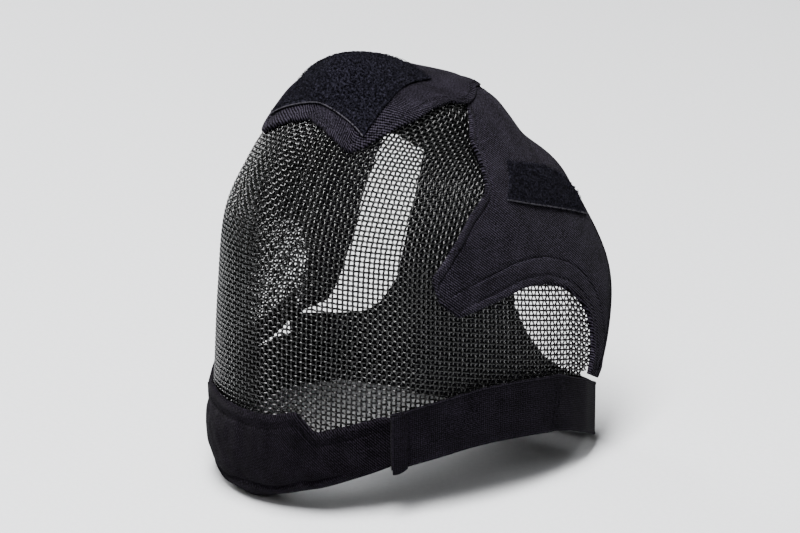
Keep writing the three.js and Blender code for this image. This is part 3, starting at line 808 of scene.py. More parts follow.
def loop_pile_tree():
    tree, given = new_tree("loop pile", [
        ("Density", "Float"), ("Height", "Float"), ("Thickness", "Float"), ("Seed", "Int"),
        ("Finish", "Material")])
    roots = add(tree, "GeometryNodeDistributePointsOnFaces", {
        "Mesh": given["Geometry"], "Density": given["Density"], "Seed": given["Seed"]})
    arch = add(tree, "GeometryNodeCurveArc", {
        "Resolution": 5, "Radius": 0.5, "Start Angle": -LOOP_OVERHANG,
        "Sweep Angle": math.pi + 2 * LOOP_OVERHANG}, mode="RADIUS")
    share = add(tree, "ShaderNodeMath", {0: given["Thickness"], 1: given["Height"]}, operation="DIVIDE")
    half = add(tree, "ShaderNodeMath", {0: share.outputs[0], 1: 0.5}, operation="MULTIPLY")
    ring = add(tree, "GeometryNodeCurvePrimitiveCircle", {"Resolution": 3, "Radius": half.outputs[0]})
    loop = add(tree, "GeometryNodeCurveToMesh", {
        "Curve": arch.outputs["Curve"], "Profile Curve": ring.outputs["Curve"]})
    upright = add(tree, "GeometryNodeTransform", {
        "Geometry": loop.outputs["Mesh"], "Rotation": (math.pi / 2, 0, 0), "Translation": (0, 0, 0.2)})
    smooth = add(tree, "GeometryNodeSetShadeSmooth", {"Geometry": upright.outputs["Geometry"]})
    spin = add(tree, "FunctionNodeRandomValue", {
        0: (-LOOP_LEAN, -LOOP_LEAN, -LOOP_SPIN), 1: (LOOP_LEAN, LOOP_LEAN, LOOP_SPIN),
        "Seed": given["Seed"]}, data_type="FLOAT_VECTOR")
    turned = add(tree, "FunctionNodeRotateRotation", {
        "Rotation": roots.outputs["Rotation"], "Rotate By": spin.outputs[0]}, rotation_space="LOCAL")
    grow = add(tree, "FunctionNodeRandomValue", {
        2: LOOP_GROWTH[0], 3: LOOP_GROWTH[1], "Seed": given["Seed"]}, data_type="FLOAT")
    size = add(tree, "ShaderNodeMath", {0: grow.outputs[1], 1: given["Height"]}, operation="MULTIPLY")
    pile = add(tree, "GeometryNodeInstanceOnPoints", {
        "Points": roots.outputs["Points"], "Instance": smooth.outputs["Geometry"],
        "Rotation": turned.outputs["Rotation"], "Scale": size.outputs[0]})
    return finish_tree(tree, pile.outputs["Instances"], given["Finish"])


def made_by_tree(name, source, tree, values):
    """Plain mesh that a geometry tree makes from a source mesh."""
    carrier = new_object(name, source)
    modifier = carrier.modifiers.new("maker", "NODES")
    modifier.node_group = tree
    sockets = {s.name: s.identifier for s in tree.interface.items_tree if s.in_out == "INPUT"}
    for label, value in values.items():
        modifier[sockets[label]] = value
    grown = bpy.data.meshes.new_from_object(carrier.evaluated_get(bpy.context.evaluated_depsgraph_get()))
    carrier.modifiers.remove(modifier)
    carrier.data = grown
    bpy.data.meshes.remove(source)
    grown.name = name
    return carrier


def line_mesh(lines, ups=None):
    """Mesh of open polylines, with the direction that faces up from the surface."""
    starts = np.cumsum([0] + [len(line) for line in lines])
    edges = np.concatenate([np.stack([np.arange(a, b - 1), np.arange(a + 1, b)], -1)
                            for a, b in zip(starts[:-1], starts[1:])])
    mesh = bpy.data.meshes.new("lines")
    mesh.from_pydata(in_frame(np.concatenate(lines)).tolist(), edges.tolist(), [])
    if ups is not None:
        layer = mesh.attributes.new("up", "FLOAT_VECTOR", "POINT")
        layer.data.foreach_set("vector", np.concatenate(ups).astype(np.float32).ravel())
    return mesh


WIRE_TREE = drawn_wire_tree()
STITCH_TREE = stitching_tree()
PILE_TREE = loop_pile_tree()
seams = []


def sew(points, ups):
    """Remember a line of stitches."""
    seams.append((np.asarray(points), np.asarray(ups)))


def dress(piece, material, slot, *nodes):
    """Finish, body and the solids that a piece stands for; the slot argument is not used."""
    if not piece.data.materials:
        piece.data.materials.append(material)
    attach(piece, "root")
    if nodes:
        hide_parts(*nodes)
    return piece


def sew_inset(points, normals, distances, inset):
    """Stitches along a grid at a distance from one of its edges."""
    sew(line_on_grid(points, distances, inset), line_on_grid(normals, distances, inset))


# Woven wire over the face

def net_step(guess, beside, below):
    """Crossings one pitch from two known neighbours, on the form."""
    q = guess.copy()
    for _ in range(NET_TRIES):
        p = form_point(q[:, 0], q[:, 1])
        by_deg = (form_point(q[:, 0] + 0.01, q[:, 1]) - p) / 0.01
        by_level = (form_point(q[:, 0], q[:, 1] + 0.001) - p) / 0.001
        to_a, to_b = p - beside, p - below
        ra, rb = np.linalg.norm(to_a, axis=1), np.linalg.norm(to_b, axis=1)
        ua, ub = to_a / ra[:, None], to_b / rb[:, None]
        m = np.stack([np.stack([(ua * by_deg).sum(1), (ua * by_level).sum(1)], -1),
                      np.stack([(ub * by_deg).sum(1), (ub * by_level).sum(1)], -1)], 1)
        miss = np.stack([ra - WIRE_PITCH, rb - WIRE_PITCH], -1)
        det = m[:, 0, 0] * m[:, 1, 1] - m[:, 0, 1] * m[:, 1, 0]
        det = np.where(np.abs(det) < 1e-6, 1e-6, det)
        step = np.stack([m[:, 1, 1] * miss[:, 0] - m[:, 0, 1] * miss[:, 1],
                         m[:, 0, 0] * miss[:, 1] - m[:, 1, 0] * miss[:, 0]], -1) / det[:, None]
        q = q - np.clip(step, -NET_LONGEST_STEP, NET_LONGEST_STEP)
        q[:, 1] = np.clip(q[:, 1], 0.0, NET_TOP)
    return q


def quarter_net(columns, up_down):
    """Angle and level of the crossings from the middle of the face to one side, upward or downward."""
    deg = np.linspace(0, NET_LAST_DEG, NET_FINE_STEPS)
    z = NET_START_HEIGHT - NET_START_DROOP * (1 - np.cos(np.radians(deg)))
    run = arc_lengths(skin(deg, z, 0))
    row_deg = np.interp(np.arange(columns) * WIRE_PITCH, run, deg)
    row_level = level_at_height(np.interp(row_deg, deg, z))
    last_level = 0 if up_down < 0 else NET_MIDDLE_TOP
    level = np.linspace(level_at_height(NET_START_HEIGHT), last_level, NET_FINE_STEPS)
    run = arc_lengths(form_point(np.zeros_like(level), level))
    rows = int(run[-1] / WIRE_PITCH)
    net = np.full((columns, rows, 2), np.nan)
    net[:, 0] = np.stack([row_deg, row_level], -1)
    net[0, :, 0] = 0
    net[0, :, 1] = np.interp(np.arange(rows) * WIRE_PITCH, run, level)
    for total in range(2, columns + rows - 1):
        i = np.arange(max(1, total - rows + 1), min(columns, total))
        j = total - i
        guess = net[i, j - 1] + net[i - 1, j] - net[i - 1, j - 1]
        beside = form_point(*net[i - 1, j].T)
        below = form_point(*net[i, j - 1].T)
        net[i, j] = net_step(guess, beside, below)
    return net if up_down < 0 else carried_on(net, NET_CARRY_COLUMN, NET_CARRY_ROWS)


def carried_on(net, start, extra):
    """More rows past the end of the middle line, from one column outward; the rest lies unused on the top."""
    net = np.concatenate([net, np.full((len(net), extra, 2), [0.0, NET_TOP])], axis=1)
    for j in range(net.shape[1] - extra, net.shape[1]):
        last = net[start, j - 1]
        step = last - net[start, j - 2]
        for _ in range(3):
            step = step * WIRE_PITCH / np.linalg.norm(form_point(*(last + step)) - form_point(*last))
        net[start, j] = last + step
        for i in range(start + 1, len(net)):
            guess = net[i, j - 1] + net[i - 1, j] - net[i - 1, j - 1]
            beside, below = form_point(*net[i - 1, j]), form_point(*net[i, j - 1])
            net[i, j] = net_step(guess[None], beside[None], below[None])[0]
    return net


def within_mesh(deg, z):
    side = np.abs(deg)
    return ((z > column(MESH_LOW_EDGE, side, 1)) & (z < crown_edge(side) + MESH_UNDER_CROWN)
            & (side < column(MESH_REAR_EDGE, z, 1)))


def woven_paths():
    """Centre lines of the upright wires and of the level wires, each passing over and under the others."""
    upper, lower = quarter_net(NET_COLUMNS, 1), quarter_net(NET_COLUMNS, -1)
    half = np.concatenate([lower[:, :0:-1], upper], axis=1)
    net = np.concatenate([half[:0:-1] * [-1, 1], half])
    deg, level = net[..., 0], net[..., 1]
    place = off_form(deg, level, MESH_MIDDLE)
    normal = form_normal(deg, level)
    kept = within_mesh(deg, place[..., 2])
    i, j = np.indices(deg.shape)
    side = np.where((i + j) % 2 == 0, 1.0, -1.0)
    return wires(place, normal, side, kept), wires(
        *(np.swapaxes(a, 0, 1) for a in (place, normal, -side, kept)))


def wires(place, normal, side, kept):
    """Waved lines through each unbroken run of crossings, row by row."""
    share = np.arange(WIRE_STEPS_PER_PITCH) / WIRE_STEPS_PER_PITCH
    over_under = np.cos(math.pi * share)
    lean = WIRE_THICKNESS / 2
    paths = []
    for row in range(len(place)):
        inside = np.concatenate([[False], kept[row], [False]])
        turns = np.flatnonzero(inside[1:] != inside[:-1])
        for start, end in zip(turns[::2], turns[1::2]):
            if end - start < FEWEST_CROSSINGS:
                continue
            p, n, s = place[row, start:end], normal[row, start:end], side[row, start:end]
            before = np.concatenate([p[:1], p[:-2]])
            after = np.concatenate([p[2:], p[-1:]])
            path = []
            for k, f in enumerate(share):
                base = (p[:-1] * (1 - f) + p[1:] * f
                        + f * (1 - f) * 0.5 * ((p[:-1] - before) * (1 - f) - (after - p[1:]) * f
                                               - (p[1:] - p[:-1]) * (1 - 2 * f)))
                path.append(base + (n[:-1] * (1 - f) + n[1:] * f) * (s[:-1] * over_under[k] * lean)[:, None])
            line = np.stack(path, 1).reshape(-1, 3)
            paths.append(np.concatenate([line, [p[-1] + n[-1] * s[-1] * lean]]))
    return paths


def face_wires():
    upright, level = woven_paths()
    middle = [np.mean(line[:, 0]) for line in upright]
    height = [np.mean(line[:, 2]) for line in level]
    split = float(np.median(height))
    groups = {
        "face_wire_upright_left": [w for w, x in zip(upright, middle) if x >= 0],
        "face_wire_upright_right": [w for w, x in zip(upright, middle) if x < 0],
        "face_wire_level_upper": [w for w, z in zip(level, height) if z >= split],
        "face_wire_level_lower": [w for w, z in zip(level, height) if z < split],
    }
    for name, lines in groups.items():
        piece = made_by_tree(name, line_mesh(lines), WIRE_TREE, {
            "Thickness": WIRE_THICKNESS * MM, "Sides": WIRE_SIDES, "Finish": WIRE})
        dress(piece, WIRE, "black_wire", "face_mesh")


# Cloth panels

def cloth_shell(name, deg, level, distance, relief, raised, uv, ring=False):
    """Cloth over the form with round edges; the relief moves both faces, raised parts only the outer one."""
    round_off = rounded(distance, CLOTH_HALF)
    middle = CLOTH_MIDDLE + relief
    outer = off_form(deg, level, middle + round_off * (CLOTH_HALF + raised))
    inner = off_form(deg, level, middle - round_off * CLOTH_HALF)
    return shell(name, outer, inner, uv, ring), outer


def seam_lap(deg):
    """Where the crown is sewn over the top of the side panels, from 0 to 1."""
    return step_up(np.abs(deg), *SEAM_START_DEG) * (1 - step_up(np.abs(deg), *SEAM_END_DEG))


def crown_panel():
    deg = np.linspace(-180, 180, CROWN_COLUMNS)
    lap = seam_lap(deg)
    lap_width = SEAM_LAP * lap * (1 - step_up(np.abs(deg), *SEAM_NARROW_DEG) * 0.5)
    edge = level_at_height(crown_edge(deg) - lap_width)
    share = np.linspace(0, 1, 301)[:, None]
    line_level = edge + (NEAR_TOP - edge) * share
    run = arc_lengths(off_form(np.broadcast_to(deg, line_level.shape), line_level, CLOTH_MIDDLE))
    levels, distances = [], []
    for k in range(len(deg)):
        steps = np.concatenate([HEM_OFFSETS, np.linspace(HEM_OFFSETS[-1], run[-1, k], CROWN_ROWS)[1:]])
        levels.append(np.interp(steps, run[:, k], line_level[:, k]))
        distances.append(steps)
    levels, distances = np.array(levels), np.array(distances)
    grid_deg = np.broadcast_to(deg[:, None], levels.shape)
    points = off_form(grid_deg, levels, CLOTH_MIDDLE)
    lapped = lap[:, None] * (1 - step_up(distances, *SEAM_FADE))
    relief = ripple(points, *CROWN_RIPPLE) * calmed(distances, CROWN_CALM) + lapped * SEAM_RISE
    around = np.radians(grid_deg) * CROWN_RADIUS
    pucker = (PUCKER_HEIGHT * np.sin(around * 2 * math.pi / PUCKER_SPACING)
              * swell(distances, PUCKER_PLACE, PUCKER_WIDTH, 1) * lap[:, None])
    raised = (hem_rise(distances) * (1 - lap[:, None]) - SEAM_PRESSED * lapped
              - swell(distances, *CROWN_DIP) + pucker)
    uv = np.stack([around, distances], -1)
    piece, outer = cloth_shell("crown_cloth", grid_deg, levels, distances, relief, raised, uv, ring=True)
    dress(piece, CANVAS, "black_cloth", "crown_panel")
    sewn_level = np.array([np.interp(HEM_WIDTH, d, v) for d, v in zip(distances, levels)])
    sew(line_on_grid(outer, distances, HEM_WIDTH), form_normal(deg, sewn_level))


def side_panel(name, mirror, node):
    stations = np.vstack([SIDE_STATIONS[:SIDE_REAR_START], SIDE_REAR_RIGHT]) if mirror else SIDE_STATIONS
    deg, z, near, far, ends, _ = strip_grid(stations, *SIDE_STEPS, HEM_OFFSETS, SIDE_OFFSETS)
    distance = np.minimum(np.minimum(near, far), ends)
    level = level_at_height(z)
    points = off_form(deg, level, CLOTH_MIDDLE)
    widest = skin(np.full_like(deg, REAR_TURN_DEG), z, CLOTH_MIDDLE)[..., 0]
    turned_in = np.where(deg > REAR_TURN_DEG, np.maximum(0, widest - points[..., 0]), 0)
    uv = points[..., 1:] + turned_in[..., None] * [1, 0]
    calm = calmed(distance, SIDE_CALM)
    bulge = swell(deg, *BULGE_BY_DEG) * swell(z, *BULGE_BY_Z)
    relief = ripple(points, *SIDE_RIPPLE) * calm + bulge * calm
    under_crown = seam_lap(deg) * (1 - step_up(far, *UNDER_CROWN_FADE))
    facing = FACING_RISE * (1 - step_up(near, FACING_WIDTH - 1, FACING_WIDTH)) - swell(near, *FACING_GROOVE)
    raised = (hem_rise(distance) * (1 - under_crown) - UNDER_CROWN_PRESSED * under_crown
              + facing * step_up(ends, *FACING_FADE) - swell(far, *SIDE_DIP) * calm)
    turn = -1 if mirror else 1
    if mirror:
        deg, level, near, far, distance, relief, raised, uv = (
            a[::-1] for a in (deg, level, near, far, distance, relief, raised, uv))
    piece, outer = cloth_shell(name, turn * deg, level, distance, relief, raised, uv)
    dress(piece, CANVAS, "black_cloth", node)
    outer, normals, near, far = (
        a[SIDE_SEWN_COLUMNS] for a in (outer, form_normal(turn * deg, level), near, far))
    sew_inset(outer, normals, near, HEM_WIDTH)
    sew_inset(outer, normals, near, FACING_SEAM)
    sew_inset(outer[:, ::-1], normals[:, ::-1], far[:, ::-1], HEM_WIDTH)


def back_panel():
    rows = np.linspace(0, len(BACK_PANEL) - 1, BACK_ROWS)
    z, half, y, forward, lift, wrap, rise = (
        np.interp(rows, np.arange(len(BACK_PANEL)), BACK_PANEL[:, k])[::-1] for k in range(7))
    top = step_up(z, *BACK_TUCK_TOP_Z)
    half = half + BACK_TUCK_SIDES * step_up(z, *BACK_TUCK_SIDES_Z)
    z, y = z + BACK_TUCK_UP * top, y - BACK_TUCK_FORWARD * top
    side = np.linspace(1, -1, BACK_COLUMNS)[:, None]
    middle = np.stack([side * half, y - forward * side ** 2 - wrap * side ** 8,
                       z + lift * side ** 2 + rise * side ** 8], -1)
    middle += ripple(middle, *BACK_RIPPLE)[..., None] * [0, 1, 0]
    piece = thick_sheet("back_cloth", middle, CLOTH_HALF, CANVAS, "black_cloth", "back_panel",
                        uv=middle[..., [0, 2]])


def grid_normals(grid):
    along = np.gradient(grid, axis=0)
    across = np.gradient(grid, axis=1)
    return unit(np.cross(along, across))


def thick_sheet(name, middle, half, material, slot, *nodes, welt=0.0, uv=None):
    """Flat goods of even thickness along a grid of points, with round edges and a welt beside them."""
    normals = grid_normals(middle)
    run_u = arc_lengths(middle)
    run_v = np.swapaxes(arc_lengths(np.swapaxes(middle, 0, 1)), 0, 1)
    distance = np.minimum(np.minimum(run_u, run_u[-1] - run_u), np.minimum(run_v, run_v[:, -1:] - run_v))
    thickness = (half * rounded(distance, half))[..., None]
    raised = (welt * rounded(distance, half) * (1 - step_up(distance, *STRAP_WELT_FADE)))[..., None]
    if uv is None:
        uv = np.stack([run_u, run_v], -1)
    piece = shell(name, middle + normals * (thickness + raised), middle - normals * thickness, uv)
    return dress(piece, material, slot, *nodes)


# Loop patches

def pile_on(name, piece, seed):
    """Loops standing on the outer face of a patch."""
    source = piece.data.copy()
    work = bmesh.new()
    work.from_mesh(source)
    hidden = [f for f in work.faces if f.normal.dot(f.calc_center_median() - HEAD_MIDDLE) < 0]
    bmesh.ops.delete(work, geom=hidden, context="FACES")
    work.to_mesh(source)
    work.free()
    grown = made_by_tree(name, source, PILE_TREE, {
        "Density": PILE_DENSITY / (MM * MM), "Height": PILE_HEIGHT * MM, "Thickness": PILE_THREAD * MM,
        "Seed": seed, "Finish": PILE})
    return dress(grown, PILE, "loop_fabric")


def woven_edge(name, line):
    """Firm woven edge of a loop patch: a fine paler line."""
    piece = made_by_tree(name, line_mesh([line]), WIRE_TREE, {
        "Thickness": WOVEN_EDGE_THICKNESS * MM, "Sides": WOVEN_EDGE_SIDES, "Finish": WOVEN_EDGE})
    return dress(piece, WOVEN_EDGE, "loop_fabric")


def border(outer, normals):
    """Stitches round a patch, a few grid lines in from its edge."""
    k = PATCH_SEAM_LINE
    inside = slice(k, -k)
    for line in ((inside, k), (inside, -k), (k, inside), (-k, inside)):
        sew(outer[line], normals[line])


def loop_patch(kind, side, deg, level, distance, uv, edge_columns, seed):
    """Loop patch with its pile, its woven edge and the stitches that hold it."""
    round_off = rounded(distance, PATCH_HALF)
    outer = off_form(deg, level, PATCH_MIDDLE + round_off * (PATCH_HALF - PATCH_SUNK_OUTSIDE))
    inner = off_form(deg, level, PATCH_MIDDLE - round_off * (PATCH_HALF - PATCH_SUNK_INSIDE))
    piece = dress(shell(kind + side, outer, inner, uv), PILE, "loop_fabric", f"{kind}_patch{side}")
    pile = pile_on(f"{kind}_pile{side}", piece, seed)
    edge = woven_edge(f"{kind}_edge{side}", outer[edge_columns, PATCH_EDGE_LINE])
    border(outer, form_normal(deg, level))


def side_loop_patch(side, mirror):
    deg, z, near, far, ends, uv = strip_grid(
        SIDE_PATCH_STATIONS, *SIDE_PATCH_STEPS, PATCH_OFFSETS, PATCH_OFFSETS)
    distance = np.minimum(np.minimum(near, far), ends)
    if mirror:
        deg, z, distance, uv = -deg[::-1], z[::-1], distance[::-1], uv[::-1]
    loop_patch("side_loop", f"_{side}", deg, level_at_height(z), distance, uv, slice(3, -3),
               PILE_SEEDS[side])


def crown_loop_patch():
    half_u = edge_steps(2.0, CROWN_PATCH_STEPS, np.array(PATCH_OFFSETS) / CROWN_PATCH_HALF_FRONT) - 1
    length = CROWN_PATCH_REAR_Y - CROWN_PATCH_FRONT[0, 1]
    back = edge_steps(1.0, CROWN_PATCH_STEPS, np.array(PATCH_OFFSETS) / length)
    side, back = np.meshgrid(half_u, back, indexing="ij")
    half = CROWN_PATCH_HALF_FRONT + (CROWN_PATCH_HALF_REAR - CROWN_PATCH_HALF_FRONT) * back
    x = side * half
    front = column(CROWN_PATCH_FRONT, np.abs(x), 1)
    y = front + (CROWN_PATCH_REAR_Y - front) * back
    deg, level = place_above(x, y)
    distance = np.minimum(np.minimum(half + x, half - x), np.minimum(y - front, CROWN_PATCH_REAR_Y - y))
    loop_patch("crown_loop", "", deg, level, distance, np.stack([x, y], -1), slice(2, -2),
               PILE_SEEDS["crown"])


# Chin band

def spline_rows(rows, steps):
    """Rows of a table with smooth rows between them."""
    padded = np.vstack([2 * rows[0] - rows[1], rows, 2 * rows[-1] - rows[-2]])
    out = []
    for k in range(len(rows) - 1):
        out.extend(between(*padded[k:k + 4], f) for f in np.arange(steps) / steps)
    return np.array(out + [rows[-1]])


def puffed_out(face, sewn):
    """How far a grid of cloth swells between its sewn lines when padding presses on it from behind."""
    index = np.arange(sewn.size).reshape(sewn.shape)
    quads = np.stack([index[:-1, :-1], index[:-1, 1:], index[1:, 1:], index[1:, :-1]], -1).reshape(-1, 4)
    start = in_frame(face)
    mesh = bpy.data.meshes.new("chin_padding")
    mesh.from_pydata(start.reshape(-1, 3).tolist(), [], quads.tolist())
    sheet = new_object("chin_padding", mesh)
    sheet.vertex_groups.new(name="sewn").add(index[sewn].tolist(), 1.0, "REPLACE")
    cloth = sheet.modifiers.new("padding", "CLOTH")
    cloth.collision_settings.use_collision = False
    settings = cloth.settings
    settings.vertex_group_mass = "sewn"
    settings.quality = 5
    settings.mass = 0.002
    settings.bending_stiffness = 0.2
    settings.shrink_min = -CHIN_SLACK
    settings.use_pressure = True
    settings.uniform_pressure_force = CHIN_PRESSURE
    settings.effector_weights.gravity = 0
    for moment in range(1, CHIN_FRAMES + 1):
        bpy.context.scene.frame_set(moment)
    settled = sheet.evaluated_get(bpy.context.evaluated_depsgraph_get()).to_mesh()
    places = np.empty(start.size, np.float32)
    settled.vertices.foreach_get("co", places)
    bpy.context.scene.frame_set(1)
    bpy.data.objects.remove(sheet)
    bpy.data.meshes.remove(mesh)
    return places.reshape(face.shape) / MM - start / MM


def swollen_cloth(face, sewn):
    """Swelling worked out on every third column and second row, capped and carried over to all of them."""
    columns, rows = (np.linspace(0, n - 1, n // k).round().astype(int) for n, k in zip(sewn.shape, (3, 2)))
    sewn[[0, -1]] = sewn[:, [0, -1]] = True
    moved = puffed_out(face[np.ix_(columns, rows)], sewn[np.ix_(columns, rows)])
    far = np.linalg.norm(moved, axis=-1, keepdims=True)
    moved = moved * np.minimum(1, CHIN_SWELL / np.maximum(far, 1e-6))
    for axis, places in ((0, columns), (1, rows)):
        everywhere = np.arange(sewn.shape[axis])
        moved = np.apply_along_axis(lambda line: np.interp(everywhere, places, line), axis, moved)
        for _ in range(3):
            line = np.moveaxis(moved, axis, 0)
            line[1:-1] = (line[:-2] + 2 * line[1:-1] + line[2:]) / 4
    return moved


def chin_band():
    deg = np.linspace(BAND_STATIONS[0, 0], BAND_STATIONS[-1, 0], CHIN_COLUMNS)
    top, bottom, padding = (
        softened(BAND_STATIONS, deg, k, width)[:, None] for k, width in enumerate(CHIN_ROUNDING, start=1))
    profile = spline_rows(BAND_PROFILE, CHIN_PROFILE_STEPS)
    down, pad, tuck_out, tuck_in, lift = (profile[:, k][None] for k in range(5))
    down = np.clip(down, 0, 1)
    z = top + (bottom - top) * down
    run = top - z
    wide = np.broadcast_to(deg[:, None], z.shape)
    ends = np.minimum(deg - deg[0], deg[-1] - deg)[:, None] * CHIN_END_DEGREE
    taper = rounded(np.minimum(run, ends) + 0.02, CLOTH_HALF)
    points = skin(wide, z, CLOTH_MIDDLE)
    calm = np.clip(run / CHIN_CALM, 0, 1) * np.clip((1 - down) / CHIN_CALM_DOWN, 0, 1)
    uneven = (ripple(points, *CHIN_RIPPLE) + ripple(points, *CHIN_FINE_RIPPLE)) * padding * calm
    dent = swell(wide, *CHIN_DENT_BY_DEG) * swell(down, *CHIN_DENT_DOWN) * padding
    crease = CHIN_CREASE + CHIN_CREASE_WANDER * np.sin(wide / CHIN_CREASE_DEG)
    lip = swell(down, crease + CHIN_LIP_BELOW, *CHIN_LIP)
    folds = (lip - swell(down, crease, *CHIN_CREASE_CUT)) * step_up(padding, *CHIN_FOLDED)
    groove = -swell(run, *CHIN_SEAM_GROOVE) * np.clip(padding + 0.3, 0, 1)
    soft = uneven + dent + folds + groove * taper
    hem = taper * (CLOTH_HALF + hem_rise(run) * CHIN_HEM_SHARE)
    outer = skin(wide, z, CLOTH_MIDDLE + hem + padding * (pad + tuck_out) + soft)
    outer[..., 2] = z
    padded = np.ix_(padding[:, 0] > CHIN_PADDED, down[0] < CHIN_PADDED_DOWN)
    sewn = (run < CHIN_HELD) | (down > CHIN_HELD_DOWN) | (padding < CHIN_HELD_PADDING)
    outer[padded] += swollen_cloth(outer[padded], sewn[padded])
    inner = skin(wide, z, CLOTH_MIDDLE - taper * CLOTH_HALF + padding * tuck_in)
    inner[..., 2] = z + padding * lift
    uv = np.stack([wide * CHIN_DEGREE, z], -1)
    piece = shell("chin_cloth", outer[:, ::-1], inner[:, ::-1], uv[:, ::-1])
    # Its canvas is the darker copy of the cloth, painted shade
    dress(piece, SHADED_CHIN_CANVAS, "black_cloth", "chin_band")
    facing = form_normal(wide, level_at_height(z))
    sew_inset(*(a[CHIN_SEWN_COLUMNS] for a in (outer, facing, run)), CHIN_SEAM)


# Neck strap

def strap_stations(side, heights):
    """Middle of the strap's thickness by station from the jaw to the middle of the back."""
    pick = STRAP_COLUMN[side]
    deg = np.linspace(STRAP_START_DEG[side], STRAP_ON_JAW[-1, 0], STRAP_JAW_STATIONS)
    low = softened(STRAP_ON_JAW, deg, pick, STRAP_JAW_ROUNDING)[:, None]
    z = low + heights
    on_jaw = skin(np.broadcast_to(deg[:, None], z.shape), z, STRAP_MIDDLE)
    on_jaw[..., 2] = z
    place, low, lean = STRAP_BEHIND[:, :2], STRAP_BEHIND[:, 1 + pick, None], STRAP_BEHIND[:, 3 + pick, None]
    before = np.vstack([place[:1], place[:-1]])
    after = np.vstack([place[1:], place[-2] * [-1, 1]])
    ahead = unit(after - before)
    outward = np.stack([ahead[:, 1], -ahead[:, 0]], -1)
    inward = lean * (heights / STRAP_WIDTH - 1)
    level = place[:, None] + outward[:, None] * inward[..., None]
    rise = low + heights * np.sqrt(1 - (lean / STRAP_WIDTH) ** 2)
    return np.concatenate([on_jaw, np.concatenate([level, rise[..., None]], -1)])


def even_route(grid, step):
    """The same route in even steps, with its corners rounded a little."""
    run = arc_lengths(grid[:, grid.shape[1] // 2])
    wanted = np.linspace(0, run[-1], int(run[-1] / step))
    ease = np.clip(np.minimum(wanted, run[-1] - wanted) / STRAP_ROUNDING, 0, 1)
    routes = []
    for shift in np.linspace(-STRAP_ROUNDING, STRAP_ROUNDING, 5):
        at = np.clip(wanted + shift * ease, 0, run[-1])
        routes.append(np.apply_along_axis(lambda line: np.interp(at, run, line), 0, grid))
    return np.mean(routes, axis=0)


def neck_strap(tabs):
    heights = edge_steps(STRAP_WIDTH, STRAP_ROWS, STRAP_EDGE_OFFSETS)
    left = strap_stations("left", heights)
    right = strap_stations("right", heights)[:-1][::-1] * [-1, 1, 1]
    route = even_route(np.concatenate([left, right]), STRAP_STEP)
    for deg in STRAP_SEAM_DEG:
        upright_seam(deg, STRAP_SEAM_RUN, STRAP_MIDDLE + STRAP_HALF, "left")
    piece = thick_sheet("strap_elastic", route, STRAP_HALF, ELASTIC, "black_elastic", "neck_strap",
                        welt=STRAP_WELT)


def upright_seam(deg, run, offset, side):
    """Stitches up the strap beside the jaw, between two heights above its lower edge."""
    z = column(STRAP_ON_JAW, deg, STRAP_COLUMN[side]) + np.linspace(*run, 30)
    angle = np.full_like(z, deg * SIDE_TURN[side])
    sew(skin(angle, z, offset), form_normal(angle, level_at_height(z)))


def strap_end(side):
    heights = edge_steps(STRAP_WIDTH, STRAP_ROWS, STRAP_EDGE_OFFSETS)
    steps = edge_steps(1.0, STRAP_END_STEPS, np.array(STRAP_EDGE_OFFSETS) / STRAP_END_WIDTH)
    deg = STRAP_START_DEG[side] + STRAP_END_DEG * steps
    z = column(STRAP_ON_JAW, deg, STRAP_COLUMN[side])[:, None] + heights
    share = (deg - deg[0]) / (deg[-1] - deg[0])
    lift = STRAP_END_LIFT * (1 - share) ** 2 + STRAP_END_BOW * np.sin(math.pi * share)
    middle = skin(np.broadcast_to(deg[:, None], z.shape), z, STRAP_END_MIDDLE + lift[:, None])
    sag = STRAP_END_SAG * np.sin(math.pi * (0.1 + 0.9 * share)) ** 0.7
    middle[..., 2] = np.maximum(FLOOR_CLEARANCE, z - sag[:, None] * (1 - heights / STRAP_WIDTH) ** 2)
    if side == "right":
        middle = middle[::-1] * [-1, 1, 1]
    seam_deg = STRAP_START_DEG[side] + STRAP_END_DEG * STRAP_END_SEAM_SHARE
    upright_seam(seam_deg, STRAP_END_SEAM_RUN, STRAP_END_MIDDLE + STRAP_END_HALF, side)
    return thick_sheet(f"strap_tab_{side}", middle, STRAP_END_HALF, ELASTIC, "black_elastic",
                       f"strap_end_{side}")


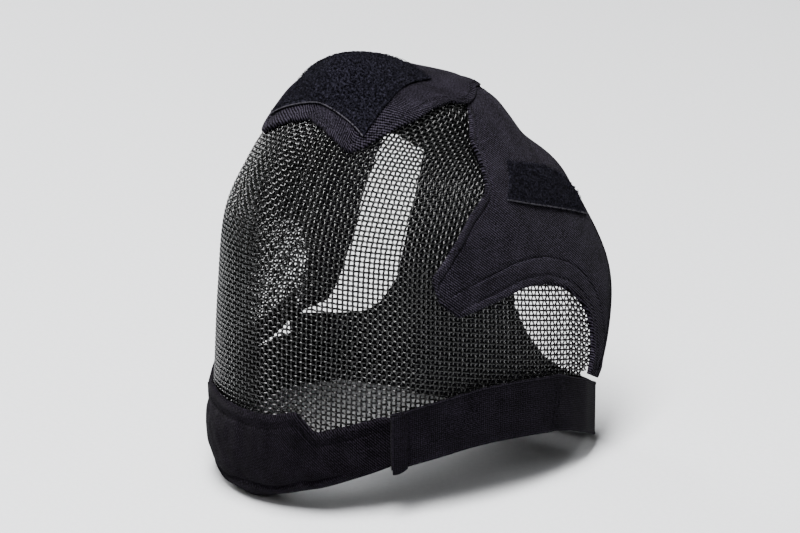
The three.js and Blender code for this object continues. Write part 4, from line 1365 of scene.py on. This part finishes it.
def stitching():
    lines, ups = [], []
    for points, up in seams:
        up = unit(up)
        lines.append(points + up * THREAD_THICKNESS * 0.25)
        ups.append(up)
    piece = made_by_tree("stitching", line_mesh(lines, ups), STITCH_TREE, {
        "Spacing": STITCH_SPACING * MM, "Length": STITCH_LENGTH * MM,
        "Thickness": THREAD_THICKNESS * MM, "Finish": THREAD})
    dress(piece, THREAD, "black_cloth")


# Studio

def aim(made, place, ahead):
    """Put a camera or a lamp in its place, looking ahead."""
    made.location = place
    made.rotation_euler = ahead.to_track_quat("-Z", "Y").to_euler()


def photo_camera():
    azimuth, elevation = math.radians(CAMERA_AZIMUTH), math.radians(CAMERA_ELEVATION)
    back = Vector((math.sin(azimuth) * math.cos(elevation), -math.cos(azimuth) * math.cos(elevation),
                   math.sin(elevation)))
    view = bpy.data.cameras.new("camera")
    view.lens = CAMERA_LENS
    view.sensor_width = SENSOR_WIDTH
    view.shift_x = (IMAGE_WIDTH / 2 - TARGET_PIXEL[0]) / IMAGE_WIDTH
    view.shift_y = (TARGET_PIXEL[1] - IMAGE_HEIGHT / 2) / IMAGE_WIDTH
    camera = new_object("camera", view)
    aim(camera, CAMERA_TARGET + back * CAMERA_DISTANCE, -back)
    bpy.context.scene.camera = camera


def studio_floor():
    floor = bpy.data.meshes.new("floor")
    corners = [(x * FLOOR_REACH, y * FLOOR_REACH, 0) for x, y in ((-1, -1), (1, -1), (1, 1), (-1, 1))]
    floor.from_pydata(corners, [], [(0, 1, 2, 3)])
    floor.materials.append(floor_paper())
    new_object("floor", floor)


def studio_lights():
    world = bpy.data.worlds.new("studio")
    world.use_nodes = True
    background = world.node_tree.nodes["Background"]
    background.inputs["Color"].default_value = (1, 1, 1, 1)
    background.inputs["Strength"].default_value = WORLD_LIGHT
    bpy.context.scene.world = world
    for name, place, width, length, power in LAMPS:
        light = bpy.data.lights.new(name, "AREA")
        light.shape = "RECTANGLE"
        light.size = width
        light.size_y = length
        light.energy = power
        aim(new_object(name, light), place, LAMP_AIM - Vector(place))


photo_camera()
studio_floor()
studio_lights()
face_wires()
crown_panel()
crown_loop_patch()
for side, mirror in (("left", False), ("right", True)):
    side_panel(f"side_cloth_{side}", mirror, f"side_panel_{side}")
    side_loop_patch(side, mirror)
chin_band()
back_panel()
neck_strap([strap_end("left"), strap_end("right")])
stitching()
